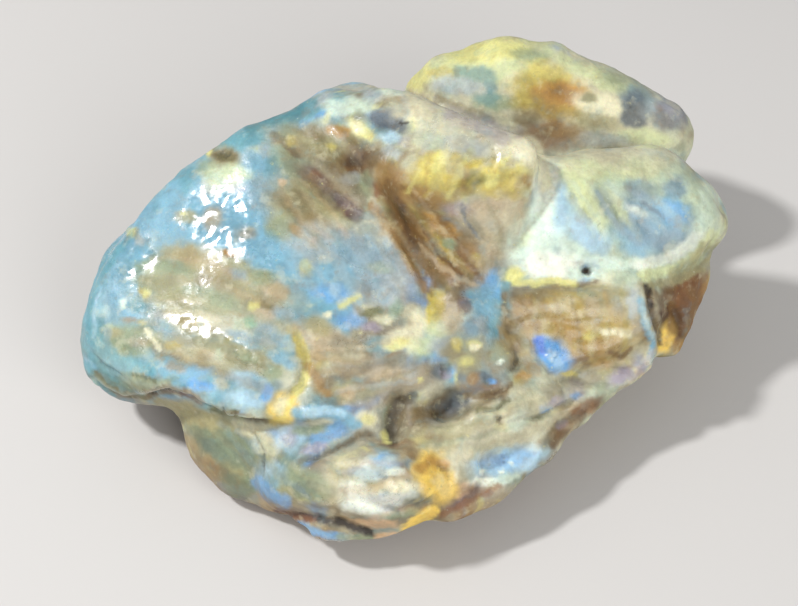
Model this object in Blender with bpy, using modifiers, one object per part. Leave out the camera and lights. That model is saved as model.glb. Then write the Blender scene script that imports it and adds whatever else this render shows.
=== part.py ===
"""A rough lump of blue amber, all one piece, lying on a worn flat of its underside.

Units are metres, +Z is up, and the origin is on the resting surface under the middle of the
lump. Its tables are in millimetres.

The lump is a heap of swellings grown into each other. Each swelling is the tight skin over a few
balls. The heap is fused, its cracks, ridges, ledges and pits are pressed into the skin, and it is
cut flat where it rests.
"""
import math

import bmesh
import bpy
import numpy as np
from mathutils import Matrix, Vector, noise
from mathutils.bvhtree import BVHTree

MM = 0.001

# Each ball of a swelling is its centre X, Y, Z and its radius.
SWELLINGS = {
    "left_dome": (
        (-27.6, 0.1, 11.3, 4.0),
        (-27.1, 2.0, 12.3, 4.0),
        (-26.0, 5.2, 14.1, 4.0),
        (-20.6, 9.3, 17.7, 4.0),
        (-18.2, 11.0, 19.1, 4.0),
        (-13.8, 13.1, 21.3, 4.0),
        (-9.4, 14.9, 21.8, 4.0),
        (-26.0, -0.6, 8.5, 5.5),
        (-23.0, -4.7, 11.7, 3.0),
        (-16.3, -7.9, 12.5, 3.0),
        (-13.8, -8.7, 12.7, 3.0),
        (-7.5, -5.0, 13.6, 4.0),
        (-3.0, 6.0, 18.0, 4.0),
        (-2.5, -4.5, 13.6, 3.5),
        (-7.5, 16.5, 19.0, 5.0),
        (-18.5, 5.5, 10.5, 6.5),
        (-13.5, 10.5, 12.0, 8.0),
    ),
    "crown": (
        (0.0, 13.0, 26.0, 3.5),
        (11.4, 7.2, 27.7, 1.9),
        (2.0, 6.0, 25.2, 3.0),
        (11.0, 5.5, 24.0, 2.0),
        (8.5, 3.0, 18.0, 2.5),
        (-5.5, 15.5, 22.6, 5.2),
        (0.5, 6.0, 20.0, 3.5),
        (3.0, 3.0, 17.5, 3.0),
    ),
    "crown_back": (
        (1.0, 13.0, 25.0, 3.5),
        (10.0, 8.5, 25.0, 3.0),
        (-6.0, 15.5, 20.5, 4.5),
        (3.0, 19.0, 14.0, 6.0),
        (12.0, 15.0, 12.5, 6.0),
        (-8.0, 19.0, 11.0, 6.5),
    ),
    "right_lobe": (
        (16.0, 8.5, 21.5, 3.8),
        (25.0, 11.3, 19.9, 4.0),
        (28.9, 9.6, 17.0, 4.2),
        (26.0, 7.5, 15.2, 3.2),
        (11.5, 2.8, 17.5, 2.2),
        (20.0, 3.6, 16.6, 2.2),
        (17.0, 14.0, 14.0, 5.0),
    ),
    "shoulder": (
        (10.5, 6.0, 21.5, 2.5),
        (8.5, 3.0, 17.0, 2.5),
        (16.0, 8.0, 21.3, 3.3),
        (11.5, 2.8, 17.5, 2.2),
        (12.0, 10.0, 20.0, 3.5),
    ),
    "front_wall": (
        (11.0, -0.5, 17.0, 1.2),
        (23.0, 0.5, 15.8, 1.2),
        (24.0, -2.3, 9.5, 1.8),
        (12.5, -4.0, 11.0, 2.0),
        (19.5, -5.0, 8.5, 2.0),
        (8.0, -1.5, 13.8, 2.5),
        (21.0, 11.5, 9.0, 3.0),
        (16.5, 6.0, 9.0, 4.0),
    ),
    "right_foot": (
        (29.0, 6.0, 13.0, 2.5),
        (28.0, 4.0, 11.0, 2.5),
        (26.5, 0.5, 8.5, 2.2),
        (24.5, 6.0, 9.0, 3.0),
        (25.5, 3.0, 12.0, 2.5),
        (23.0, 12.0, 9.0, 5.0),
    ),
    "back_lobe": (
        (5.5, 28.0, 16.5, 5.0),
        (11.0, 28.0, 17.5, 5.3),
        (20.0, 26.0, 16.0, 5.5),
        (26.8, 24.2, 14.2, 4.7),
        (7.0, 25.0, 8.0, 6.5),
        (22.0, 22.0, 8.0, 6.0),
        (15.0, 26.0, 7.5, 7.0),
    ),
    "back_saddle": (
        (-12.0, 16.0, 9.0, 7.0),
        (-2.0, 22.0, 8.0, 6.0),
        (4.0, 20.0, 9.0, 6.5),
        (12.0, 18.0, 9.5, 6.5),
        (20.5, 18.0, 10.0, 5.5),
    ),
    "front_ridge": (
        (2.0, -13.5, 9.0, 3.0),
        (7.5, -11.0, 9.5, 3.0),
        (15.5, -7.0, 9.0, 2.5),
        (18.0, -6.0, 8.0, 1.8),
        (13.3, -11.2, 7.2, 2.2),
        (8.2, -14.6, 6.0, 2.2),
        (4.5, -17.2, 5.5, 2.2),
        (9.5, -6.5, 11.0, 3.0),
        (5.0, -9.0, 5.0, 4.0),
    ),
    "lower_lobe": (
        (-7.0, -15.0, 8.0, 4.5),
        (-1.5, -16.5, 8.5, 4.5),
        (2.5, -15.0, 7.0, 4.0),
        (-6.5, -17.0, 6.0, 3.5),
        (-1.0, -17.5, 5.8, 3.0),
        (-10.0, -14.0, 6.0, 3.5),
        (-4.5, -18.0, 4.8, 1.3),
        (-2.0, -12.0, 4.0, 4.0),
    ),
    "midriff": (
        (-8.5, -8.8, 11.0, 4.0),
        (0.0, -5.0, 13.8, 4.0),
        (6.0, -3.0, 14.2, 4.0),
        (5.0, -6.5, 10.5, 4.0),
        (-2.0, -10.0, 10.5, 3.5),
        (-3.5, -12.0, 9.0, 3.0),
    ),
    "recess": (
        (-18.5, -7.5, 6.0, 3.0),
        (-12.0, -11.3, 8.3, 3.2),
        (-10.3, -13.8, 3.0, 2.6),
        (-15.8, -10.9, 2.8, 2.7),
        (-18.5, -8.0, 2.5, 2.5),
        (-9.5, -8.0, 4.0, 4.0),
    ),
    "core": (
        (-14.0, 4.0, 6.0, 7.0),
        (0.0, -4.0, 5.0, 7.0),
        (12.0, 1.0, 6.0, 7.0),
        (15.0, 14.0, 6.5, 7.5),
        (-8.0, 13.0, 6.5, 8.0),
        (5.0, 19.0, 6.5, 8.0),
        (2.0, 4.0, 14.0, 8.0),
    ),
}
FUSE_VOXEL = 0.7
FUSE_ROUNDING = 6

# Each mark is drawn on a board through the middle of the lump, square to a line of sight, and runs
# along that line onto the skin. A line of sight is its azimuth and elevation in degrees: 0 looks
# along +Y from in front, and 90 looks from the right.
SIGHTS = {"front": (0, 48), "right": (75, 25), "back": (180, 30), "left": (270, 25)}
EYE_DISTANCE = 171.0
BOARD_CENTRE = (0.0, 0.0, 15.0)
MARK_SPACING = 0.6
MARK_END_TAPER = 0.35

# Each mark is its kind, sight, half width and depth, and the points of its path on the board,
# which are millimetres to the right and up.
MARKS = {
    # The crown's face and top.
    "crown_groove": (
        "groove",
        "front",
        1.5,
        1.3,
        ((-2.4, 10.9), (-0.5, 7.4), (1.2, 5.4), (2.9, 1.6), (4.0, 0.3)),
    ),
    "groove_lip": ("ridge", "front", 0.9, 0.4, ((-2.8, 8.9), (-0.5, 6.4), (1.0, 3.9), (2.0, 1.6))),
    "face_streak_a": ("groove", "front", 0.8, 0.5, ((1.5, 9.5), (4.0, 6.6), (6.8, 4.0))),
    "face_streak_b": ("ridge", "front", 1.0, 0.5, ((4.9, 9.9), (7.3, 7.5), (9.7, 5.6))),
    "plateau_dip": ("groove", "front", 3.0, 0.4, ((3.0, 18.1), (6.8, 16.9), (10.2, 14.8))),
    "slate_dimple": ("groove", "front", 1.3, 0.4, ((-2.1, 17.8), (0.4, 18.0))),
    "top_notch": ("groove", "front", 1.0, 0.7, ((-8.8, 19.8), (-8.4, 18.4))),
    "umber_hollow": ("groove", "front", 2.2, 0.7, ((-9.5, 12.8), (-6.2, 10.9), (-2.6, 10.3))),
    "crown_side": (
        "groove",
        "front",
        0.8,
        0.8,
        ((14.4, 13.6), (13.4, 10.4), (11.9, 6.8), (10.2, 3.0)),
    ),
    # The left dome.
    "dome_dimple_a": ("groove", "front", 1.4, 0.35, ((-17.1, 14.3),)),
    "dome_valley": (
        "groove",
        "front",
        2.2,
        0.25,
        ((-26.9, -0.7), (-21.1, -1.5), (-15.3, -2.9), (-9.5, -1.5)),
    ),
    "blue_strip_groove": (
        "groove",
        "front",
        1.0,
        0.35,
        ((-19.2, -9.0), (-14.9, -8.5), (-12.0, -7.9)),
    ),
    "dome_lip": (
        "ledge",
        "front",
        0.9,
        0.8,
        (
            (-29.4, -7.9), (-24.0, -8.6), (-20.6, -8.6),
            (-16.3, -10.5), (-13.2, -11.1), (-9.5, -11.7),
        ),
    ),
    "dome_second_lip": ("groove", "front", 0.8, 0.8, ((-30.2, -6.0), (-27.7, -7.4), (-25.6, -8.4))),
    "orange_vein": (
        "groove",
        "front",
        0.8,
        0.35,
        ((-11.5, -9.8), (-9.3, -7.4), (-9.1, -5.0), (-9.9, -3.1)),
    ),
    # Below the dome.
    "recess_hollow": (
        "groove",
        "front",
        2.0,
        0.8,
        ((-18.7, -13.2), (-15.3, -14.4), (-13.2, -16.1)),
    ),
    "lower_crack": (
        "groove",
        "front",
        0.9,
        0.7,
        ((-9.5, -15.1), (-5.6, -13.8), (-2.5, -12.6), (-0.8, -13.3)),
    ),
    "lobe_saddle": ("groove", "front", 1.8, 0.5, ((-6.2, -14.7), (-4.5, -16.9), (-3.8, -19.5))),
    "lobe_crack": (
        "groove",
        "front",
        0.8,
        0.7,
        ((-9.5, -18.2), (-4.7, -19.0), (0.1, -20.2), (2.5, -20.9)),
    ),
    "bottom_crack": ("groove", "front", 0.8, 1.1, ((-11.0, -20.4), (-6.7, -20.9), (-2.6, -22.0))),
    # The middle.
    "midriff_dip": ("groove", "front", 1.8, 0.4, ((2.0, -4.1), (5.4, -4.5), (7.8, -3.6))),
    "brown_line": ("groove", "front", 0.8, 0.35, ((-4.7, -6.5), (-2.3, -5.6), (0.1, -4.7))),
    "pit_groove": ("groove", "front", 0.9, 1.3, ((0.4, -9.2), (-0.6, -10.6), (-0.8, -13.3))),
    "hollow": ("groove", "front", 1.2, 1.9, ((3.4, -10.6), (4.5, -10.3), (5.9, -9.8))),
    "hollow_tail": ("groove", "front", 0.8, 0.9, ((5.9, -9.8), (8.0, -8.9), (10.3, -8.2))),
    "slate_spot_pit": ("groove", "front", 0.9, 0.7, ((4.4, -6.4),)),
    "bubble": ("ridge", "front", 1.1, 0.7, ((10.2, -5.2),)),
    # The front ridge.
    "ridge_crest": (
        "ridge",
        "front",
        1.3,
        0.6,
        ((2.0, -12.4), (6.8, -11.3), (11.7, -9.8), (16.5, -7.9)),
    ),
    "ridge_hollow": ("groove", "front", 1.5, 0.7, ((6.8, -15.3), (9.7, -14.9), (12.6, -15.3))),
    "front_edge": (
        "groove",
        "front",
        0.9,
        0.7,
        ((5.1, -19.4), (9.7, -16.1), (14.4, -12.9), (17.0, -9.7)),
    ),
    # The wall under the right lobe.
    "rim_top": ("ridge", "front", 1.2, 0.4, ((10.9, 2.6), (17.5, 2.6), (23.7, 2.3), (29.0, 4.5))),
    "rim_under": ("groove", "front", 0.8, 0.45, ((10.5, 1.0), (17.5, 0.8), (23.2, 0.6))),
    "foot_under_rim": ("groove", "front", 0.8, 0.9, ((24.7, 1.7), (28.1, 2.6), (29.6, 4.0))),
    "wall_edge": (
        "ridge",
        "front",
        1.0,
        0.6,
        ((23.6, 0.5), (25.0, -4.2), (23.9, -6.6), (22.2, -7.8)),
    ),
    "wall_crack": (
        "groove",
        "front",
        0.7,
        0.35,
        ((11.3, -2.6), (14.1, -1.8), (17.5, -2.6), (21.3, -1.4)),
    ),
    "wall_ledge": (
        "ledge",
        "front",
        0.7,
        0.4,
        ((11.7, -7.2), (15.5, -6.3), (19.4, -5.7), (23.2, -4.5)),
    ),
    # The right lobe.
    "right_scoop": ("groove", "front", 3.0, 0.35, ((20.3, 9.9), (23.2, 7.5), (25.3, 5.6))),
    "right_streak": (
        "ridge",
        "front",
        1.0,
        0.2,
        ((17.0, 12.6), (20.3, 11.8), (24.2, 10.9), (28.1, 9.5)),
    ),
    "band_ridge": (
        "ridge",
        "front",
        1.4,
        0.25,
        ((14.0, 13.3), (16.0, 9.9), (17.4, 6.6), (18.4, 4.3)),
    ),
    # The back lobe.
    "back_valley": ("groove", "front", 2.0, 1.0, ((14.4, 23.2), (16.0, 20.1), (15.5, 16.2))),
    "back_dimple": ("groove", "front", 1.6, 0.6, ((6.8, 21.7), (9.0, 20.9))),
    "back_knob": ("ridge", "front", 2.0, 0.6, ((10.7, 23.4),)),
    # The rear, out of sight from in front.
    "rear_crack": (
        "groove",
        "back",
        0.9,
        1.2,
        ((-27.0, -5.0), (-20.0, -8.0), (-12.0, -6.0), (-4.0, -9.0)),
    ),
    "rear_ledge": ("ledge", "back", 1.0, 1.1, ((-25.0, -13.0), (-16.0, -12.0), (-8.0, -14.5))),
    "rear_pit_a": ("groove", "back", 1.5, 1.3, ((-16.0, -2.0),)),
    "rear_pit_b": ("groove", "back", 1.1, 1.0, ((-9.0, -10.0), (-7.5, -11.0))),
    "rear_rib": ("ridge", "back", 1.5, 0.9, ((-22.0, -3.0), (-19.0, -8.0), (-20.0, -14.0))),
    "crown_rear_crack": (
        "groove",
        "back",
        1.0,
        1.2,
        ((-9.0, 4.0), (-2.0, 2.5), (4.0, 2.0), (9.0, -1.0)),
    ),
    "crown_rear_ledge": ("ledge", "back", 1.0, 1.0, ((-6.0, 0.0), (2.0, -1.5), (9.0, -4.5))),
    "saddle_crack": ("groove", "back", 1.0, 1.2, ((2.0, -2.0), (7.0, -7.0), (14.0, -10.0))),
    "dome_rear_dent": ("groove", "back", 3.0, 1.2, ((16.0, -3.0), (22.0, -6.0))),
    "dome_rear_crack": ("groove", "back", 0.9, 1.0, ((13.0, -4.0), (20.0, -6.0), (27.0, -4.0))),
    # The two ends.
    "foot_crack": ("groove", "right", 0.9, 1.2, ((-3.0, -11.0), (1.0, -14.0), (3.0, -18.0))),
    "foot_ledge": ("ledge", "right", 1.0, 1.0, ((2.0, -13.0), (8.0, -14.5), (14.0, -13.0))),
    "right_end_crack": ("groove", "right", 1.0, 1.2, ((17.5, -11.0), (16.0, -14.0), (12.5, -18.0))),
    "right_end_pit": ("groove", "right", 1.3, 1.1, ((21.0, -10.0),)),
    "left_end_crease": ("groove", "left", 1.0, 0.9, ((-14.0, -6.0), (-8.0, -12.0), (-2.0, -18.0))),
    "left_rear_crack": ("groove", "left", 1.0, 1.2, ((-23.0, -2.0), (-19.0, -7.0), (-16.0, -13.0))),
}

# The skin is worn smooth around these places, each a centre and a radius, and knobbly elsewhere.
WORN_PLACES = (
    (-16.0, 3.0, 17.0, 19.0),
    (24.0, 9.0, 19.0, 14.0),
    (6.0, 9.0, 27.0, 11.0),
    (15.0, 27.0, 20.0, 9.0),
)
WORN_SHARPNESS = 2.0
WORN_SHARE = 0.85
SWELL_SPACING = 9.0
SWELL_HEIGHT = 0.28
KNOB_SPACING = 4.5
KNOB_HEIGHT = 0.75
KNOB_LEVEL = 0.45
CREASE_SPACING = 8.0
CREASE_DEPTH = 0.5
CREASE_SHARPNESS = 9.0

GROUND_BOX = 200.0
SKIN_VOXEL = 0.55
SKIN_ROUNDING = 1
DECIMATE_RATIO = 0.14
# The middle of the lump's box on the ground, which becomes the origin.
LUMP_MIDDLE = (0.7, 6.4)
AMBER_COLOUR = (0.36, 0.4, 0.3, 1.0)
AMBER_ROUGHNESS = 0.3


def clear_scene():
    for obj in list(bpy.data.objects):
        bpy.data.objects.remove(obj)


def make_swelling(name, balls):
    """The convex skin over the balls, as a closed mesh object."""
    bm = bmesh.new()
    for x, y, z, radius in balls:
        place = Matrix.Translation(Vector((x, y, z)) * MM)
        bmesh.ops.create_icosphere(bm, subdivisions=3, radius=radius * MM, matrix=place)
    hull = bmesh.ops.convex_hull(bm, input=bm.verts)
    unused = hull["geom_interior"] + hull["geom_unused"]
    inside = {item for item in unused if isinstance(item, bmesh.types.BMVert)}
    bmesh.ops.delete(bm, geom=list(inside), context="VERTS")
    skin = {item for item in hull["geom"] if isinstance(item, bmesh.types.BMFace)}
    bmesh.ops.delete(bm, geom=[face for face in bm.faces if face not in skin], context="FACES")
    mesh = bpy.data.meshes.new(name)
    bm.to_mesh(mesh)
    bm.free()
    obj = bpy.data.objects.new(name, mesh)
    bpy.context.scene.collection.objects.link(obj)
    return obj


def apply_all(obj):
    """Turn the object's modifiers into its mesh."""
    bpy.context.view_layer.objects.active = obj
    for modifier in list(obj.modifiers):
        bpy.ops.object.modifier_apply(modifier=modifier.name)


def add_fuse(obj, voxel):
    fuse = obj.modifiers.new("Fuse", "REMESH")
    fuse.mode = "VOXEL"
    fuse.voxel_size = voxel * MM


def add_round(obj, passes):
    soften = obj.modifiers.new("Round", "SMOOTH")
    soften.iterations = passes


def heap_of_swellings():
    """All the swellings, fused into one rounded body."""
    swellings = [make_swelling(name, balls) for name, balls in SWELLINGS.items()]
    for swelling in swellings:
        swelling.select_set(True)
    bpy.context.view_layer.objects.active = swellings[0]
    bpy.ops.object.join()
    lump = bpy.context.view_layer.objects.active
    lump.name = "amber_lump"
    add_fuse(lump, FUSE_VOXEL)
    add_round(lump, FUSE_ROUNDING)
    apply_all(lump)
    return lump


def path_points(path):
    """Points at an even spacing along a path on the board, with each one's share of the way."""
    corners = np.array(path, dtype=float)
    if len(corners) == 1:
        return corners, np.array([0.5])
    lengths = np.linalg.norm(np.diff(corners, axis=0), axis=1)
    reached = np.concatenate([[0.0], np.cumsum(lengths)])
    count = max(3, int(reached[-1] / MARK_SPACING))
    shares = np.linspace(0.0, 1.0, count)
    places = shares * reached[-1]
    points = np.column_stack([np.interp(places, reached, corners[:, axis]) for axis in (0, 1)])
    return points, shares


def lay_on_skin(tree, sight, path):
    """The path's points on the skin in mm, and how strong the mark is at each."""
    azimuth, elevation = (math.radians(angle) for angle in SIGHTS[sight])
    right = Vector((math.cos(azimuth), math.sin(azimuth), 0.0))
    level = Vector((math.sin(azimuth), -math.cos(azimuth), 0.0))
    back = level * math.cos(elevation) + Vector((0.0, 0.0, math.sin(elevation)))
    up = back.cross(right)
    centre = Vector(BOARD_CENTRE)
    eye = centre + back * EYE_DISTANCE
    points, shares = path_points(path)
    laid = []
    strengths = []
    for (across, upward), share in zip(points, shares):
        aim = centre + right * across + up * upward
        hit = tree.ray_cast(eye * MM, (aim - eye).normalized())[0]
        if hit is not None:
            laid.append(hit / MM)
            strengths.append(MARK_END_TAPER + (1.0 - MARK_END_TAPER) * math.sin(math.pi * share))
    return np.array(laid), np.array(strengths)


def mark_height(kind, half_width, depth, points, strengths, skin, normals):
    """How far a mark moves each point of the skin outwards, in mm."""
    offsets = skin[:, None, :] - points[None, :, :]
    distances = np.linalg.norm(offsets, axis=2)
    nearest = distances.argmin(axis=1)
    away = distances[np.arange(len(skin)), nearest]
    strength = strengths[nearest]
    if kind == "ledge":
        along = np.gradient(points, axis=0)[nearest]
        side = np.cross(normals, along)
        side /= np.linalg.norm(side, axis=1)[:, None]
        offset = offsets[np.arange(len(skin)), nearest]
        signed = (side * offset).sum(axis=1)
        reach = 4.0 * half_width
        return depth * strength * np.tanh(signed / half_width) * np.exp(-((away / reach) ** 2))
    height = depth * strength * np.exp(-((away / half_width) ** 2))
    return -height if kind == "groove" else height


def weathering(point):
    """The height of the natural unevenness at a point of the skin, in mm."""
    worn = 0.0
    for x, y, z, radius in WORN_PLACES:
        share = (point - Vector((x, y, z))).length / radius
        worn = max(worn, 1.0 - share * share)
    rough = 1.0 - min(1.0, max(0.0, worn) * WORN_SHARPNESS) * WORN_SHARE
    swell = noise.fractal(point / SWELL_SPACING, 1.0, 2.0, 3) * SWELL_HEIGHT
    knob = (KNOB_LEVEL - noise.voronoi(point / KNOB_SPACING)[0][0]) * KNOB_HEIGHT
    crease = max(0.0, 1.0 - CREASE_SHARPNESS * abs(noise.noise(point / CREASE_SPACING)))
    return swell + rough * (knob - crease * CREASE_DEPTH)


def press_marks(lump):
    """Move the lump's skin in and out by its marks and its unevenness."""
    mesh = lump.data
    count = len(mesh.vertices)
    skin = np.empty(count * 3)
    mesh.vertices.foreach_get("co", skin)
    skin = skin.reshape(-1, 3) / MM
    normals = np.empty(count * 3)
    mesh.vertices.foreach_get("normal", normals)
    normals = normals.reshape(-1, 3)
    tree = BVHTree.FromObject(lump, bpy.context.evaluated_depsgraph_get())
    height = np.array([weathering(Vector(point)) for point in skin])
    for kind, sight, half_width, depth, path in MARKS.values():
        points, strengths = lay_on_skin(tree, sight, path)
        height += mark_height(kind, half_width, depth, points, strengths, skin, normals)
    moved = (skin + normals * height[:, None]) * MM
    mesh.vertices.foreach_set("co", moved.ravel())
    mesh.update()


def coarsen(lump):
    """Fuse the pressed skin again and keep only the triangles that its shape needs."""
    add_fuse(lump, SKIN_VOXEL)
    add_round(lump, SKIN_ROUNDING)
    decimate = lump.modifiers.new("Coarsen", "DECIMATE")
    decimate.ratio = DECIMATE_RATIO
    apply_all(lump)


def cut_resting_face(lump):
    """Cut away what lies below Z = 0."""
    bpy.ops.mesh.primitive_cube_add(size=GROUND_BOX * MM, location=(0.0, 0.0, -GROUND_BOX / 2 * MM))
    ground = bpy.context.active_object
    cut = lump.modifiers.new("Resting face", "BOOLEAN")
    cut.operation = "DIFFERENCE"
    cut.object = ground
    apply_all(lump)
    bpy.data.objects.remove(ground)


def place_and_finish(lump):
    """Bring the middle of the resting box to the origin and give the lump its material."""
    lump.data.transform(Matrix.Translation(Vector((*LUMP_MIDDLE, 0.0)) * -MM))
    lump.data.shade_smooth()
    amber = bpy.data.materials.new("blue_amber")
    amber.use_nodes = True
    shader = amber.node_tree.nodes["Principled BSDF"]
    shader.inputs["Base Color"].default_value = AMBER_COLOUR
    shader.inputs["Roughness"].default_value = AMBER_ROUGHNESS
    shader.inputs["Metallic"].default_value = 0.0
    lump.data.materials.clear()
    lump.data.materials.append(amber)
    lump.data.name = lump.name
    collection = bpy.data.collections.new("rough_blue_amber")
    bpy.context.scene.collection.children.link(collection)
    collection.objects.link(lump)
    bpy.context.scene.collection.objects.unlink(lump)


def main():
    clear_scene()
    lump = heap_of_swellings()
    press_marks(lump)
    coarsen(lump)
    cut_resting_face(lump)
    place_and_finish(lump)


main()
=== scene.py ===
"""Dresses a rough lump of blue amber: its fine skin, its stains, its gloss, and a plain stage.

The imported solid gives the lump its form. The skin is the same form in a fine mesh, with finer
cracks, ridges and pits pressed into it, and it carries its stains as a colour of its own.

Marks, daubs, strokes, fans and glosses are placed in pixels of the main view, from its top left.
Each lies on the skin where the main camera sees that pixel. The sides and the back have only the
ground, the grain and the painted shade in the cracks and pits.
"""
import math

import bpy
import numpy as np
from mathutils import Matrix, Vector, noise
from mathutils.bvhtree import BVHTree


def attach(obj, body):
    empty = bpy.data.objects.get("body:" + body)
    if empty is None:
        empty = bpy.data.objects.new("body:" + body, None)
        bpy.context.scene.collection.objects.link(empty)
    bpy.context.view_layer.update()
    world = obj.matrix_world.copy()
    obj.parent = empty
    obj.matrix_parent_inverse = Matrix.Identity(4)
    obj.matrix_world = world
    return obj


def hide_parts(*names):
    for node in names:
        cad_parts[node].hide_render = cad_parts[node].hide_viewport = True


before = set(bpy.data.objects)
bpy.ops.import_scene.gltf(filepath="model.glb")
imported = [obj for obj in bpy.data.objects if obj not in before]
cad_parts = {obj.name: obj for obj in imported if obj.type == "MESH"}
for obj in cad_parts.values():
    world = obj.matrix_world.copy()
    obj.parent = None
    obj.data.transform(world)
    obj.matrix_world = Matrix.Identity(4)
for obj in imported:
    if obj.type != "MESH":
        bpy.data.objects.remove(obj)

bl_info = {
    "name": "Rough blue amber",
    "version": (1, 0, 0),
    "blender": (4, 5, 0),
    "location": "View3D > Sidebar > Amber",
    "description": "The skin, stains and stage of a rough lump of blue amber",
    "category": "Object",
}

MM = 0.001
LUMP_NODE = "amber_lump"
ROOT_BODY = "root"

# The main view: 48 degrees down on the lump from in front, 171 mm from its middle. The camera sees
# from 1 mm to 10 m away.
VIEW_ELEVATION = 48.0
VIEW_DISTANCE = 171.0
VIEW_CENTRE = (-0.7, -6.4, 15.0)
VIEW_LENS = 80.0
VIEW_SENSOR = 36.0
VIEW_SIZE = (798, 606)
VIEW_CLIP = (0.001, 10.0)


# ---------------- the form, in mm

# The solid's corners are welded when they are nearer than this.
WELD_REACH = 0.001
# Finer ripples, of this share of their size and height, run over the low ones.
FINE_RIPPLE = 0.4
# What of the skin lies lower than this lies on the floor.
FLOOR_REACH = 0.06
# The skin is thinned out on its far side until it has no more triangles than this.
MOST_TRIANGLES = 190000

# A mark follows its path in steps of so many pixels. It fades out towards both ends, over this
# share of its length, down to its least strength.
MARK_STEP = 3.0
MARK_END_TAPER = 0.35
MARK_LEAST_STRENGTH = 0.35
# How far marks and ledges are felt, and how far a ledge's step runs out, in half widths.
MARK_REACH = 3.0
LEDGE_REACH = 9.0
LEDGE_RUN = 4.0
# This is added to a length before it divides, so that nothing is divided by nothing.
NEARLY_NOTHING = 1e-12


# ---------------- the marks in the skin

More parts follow.
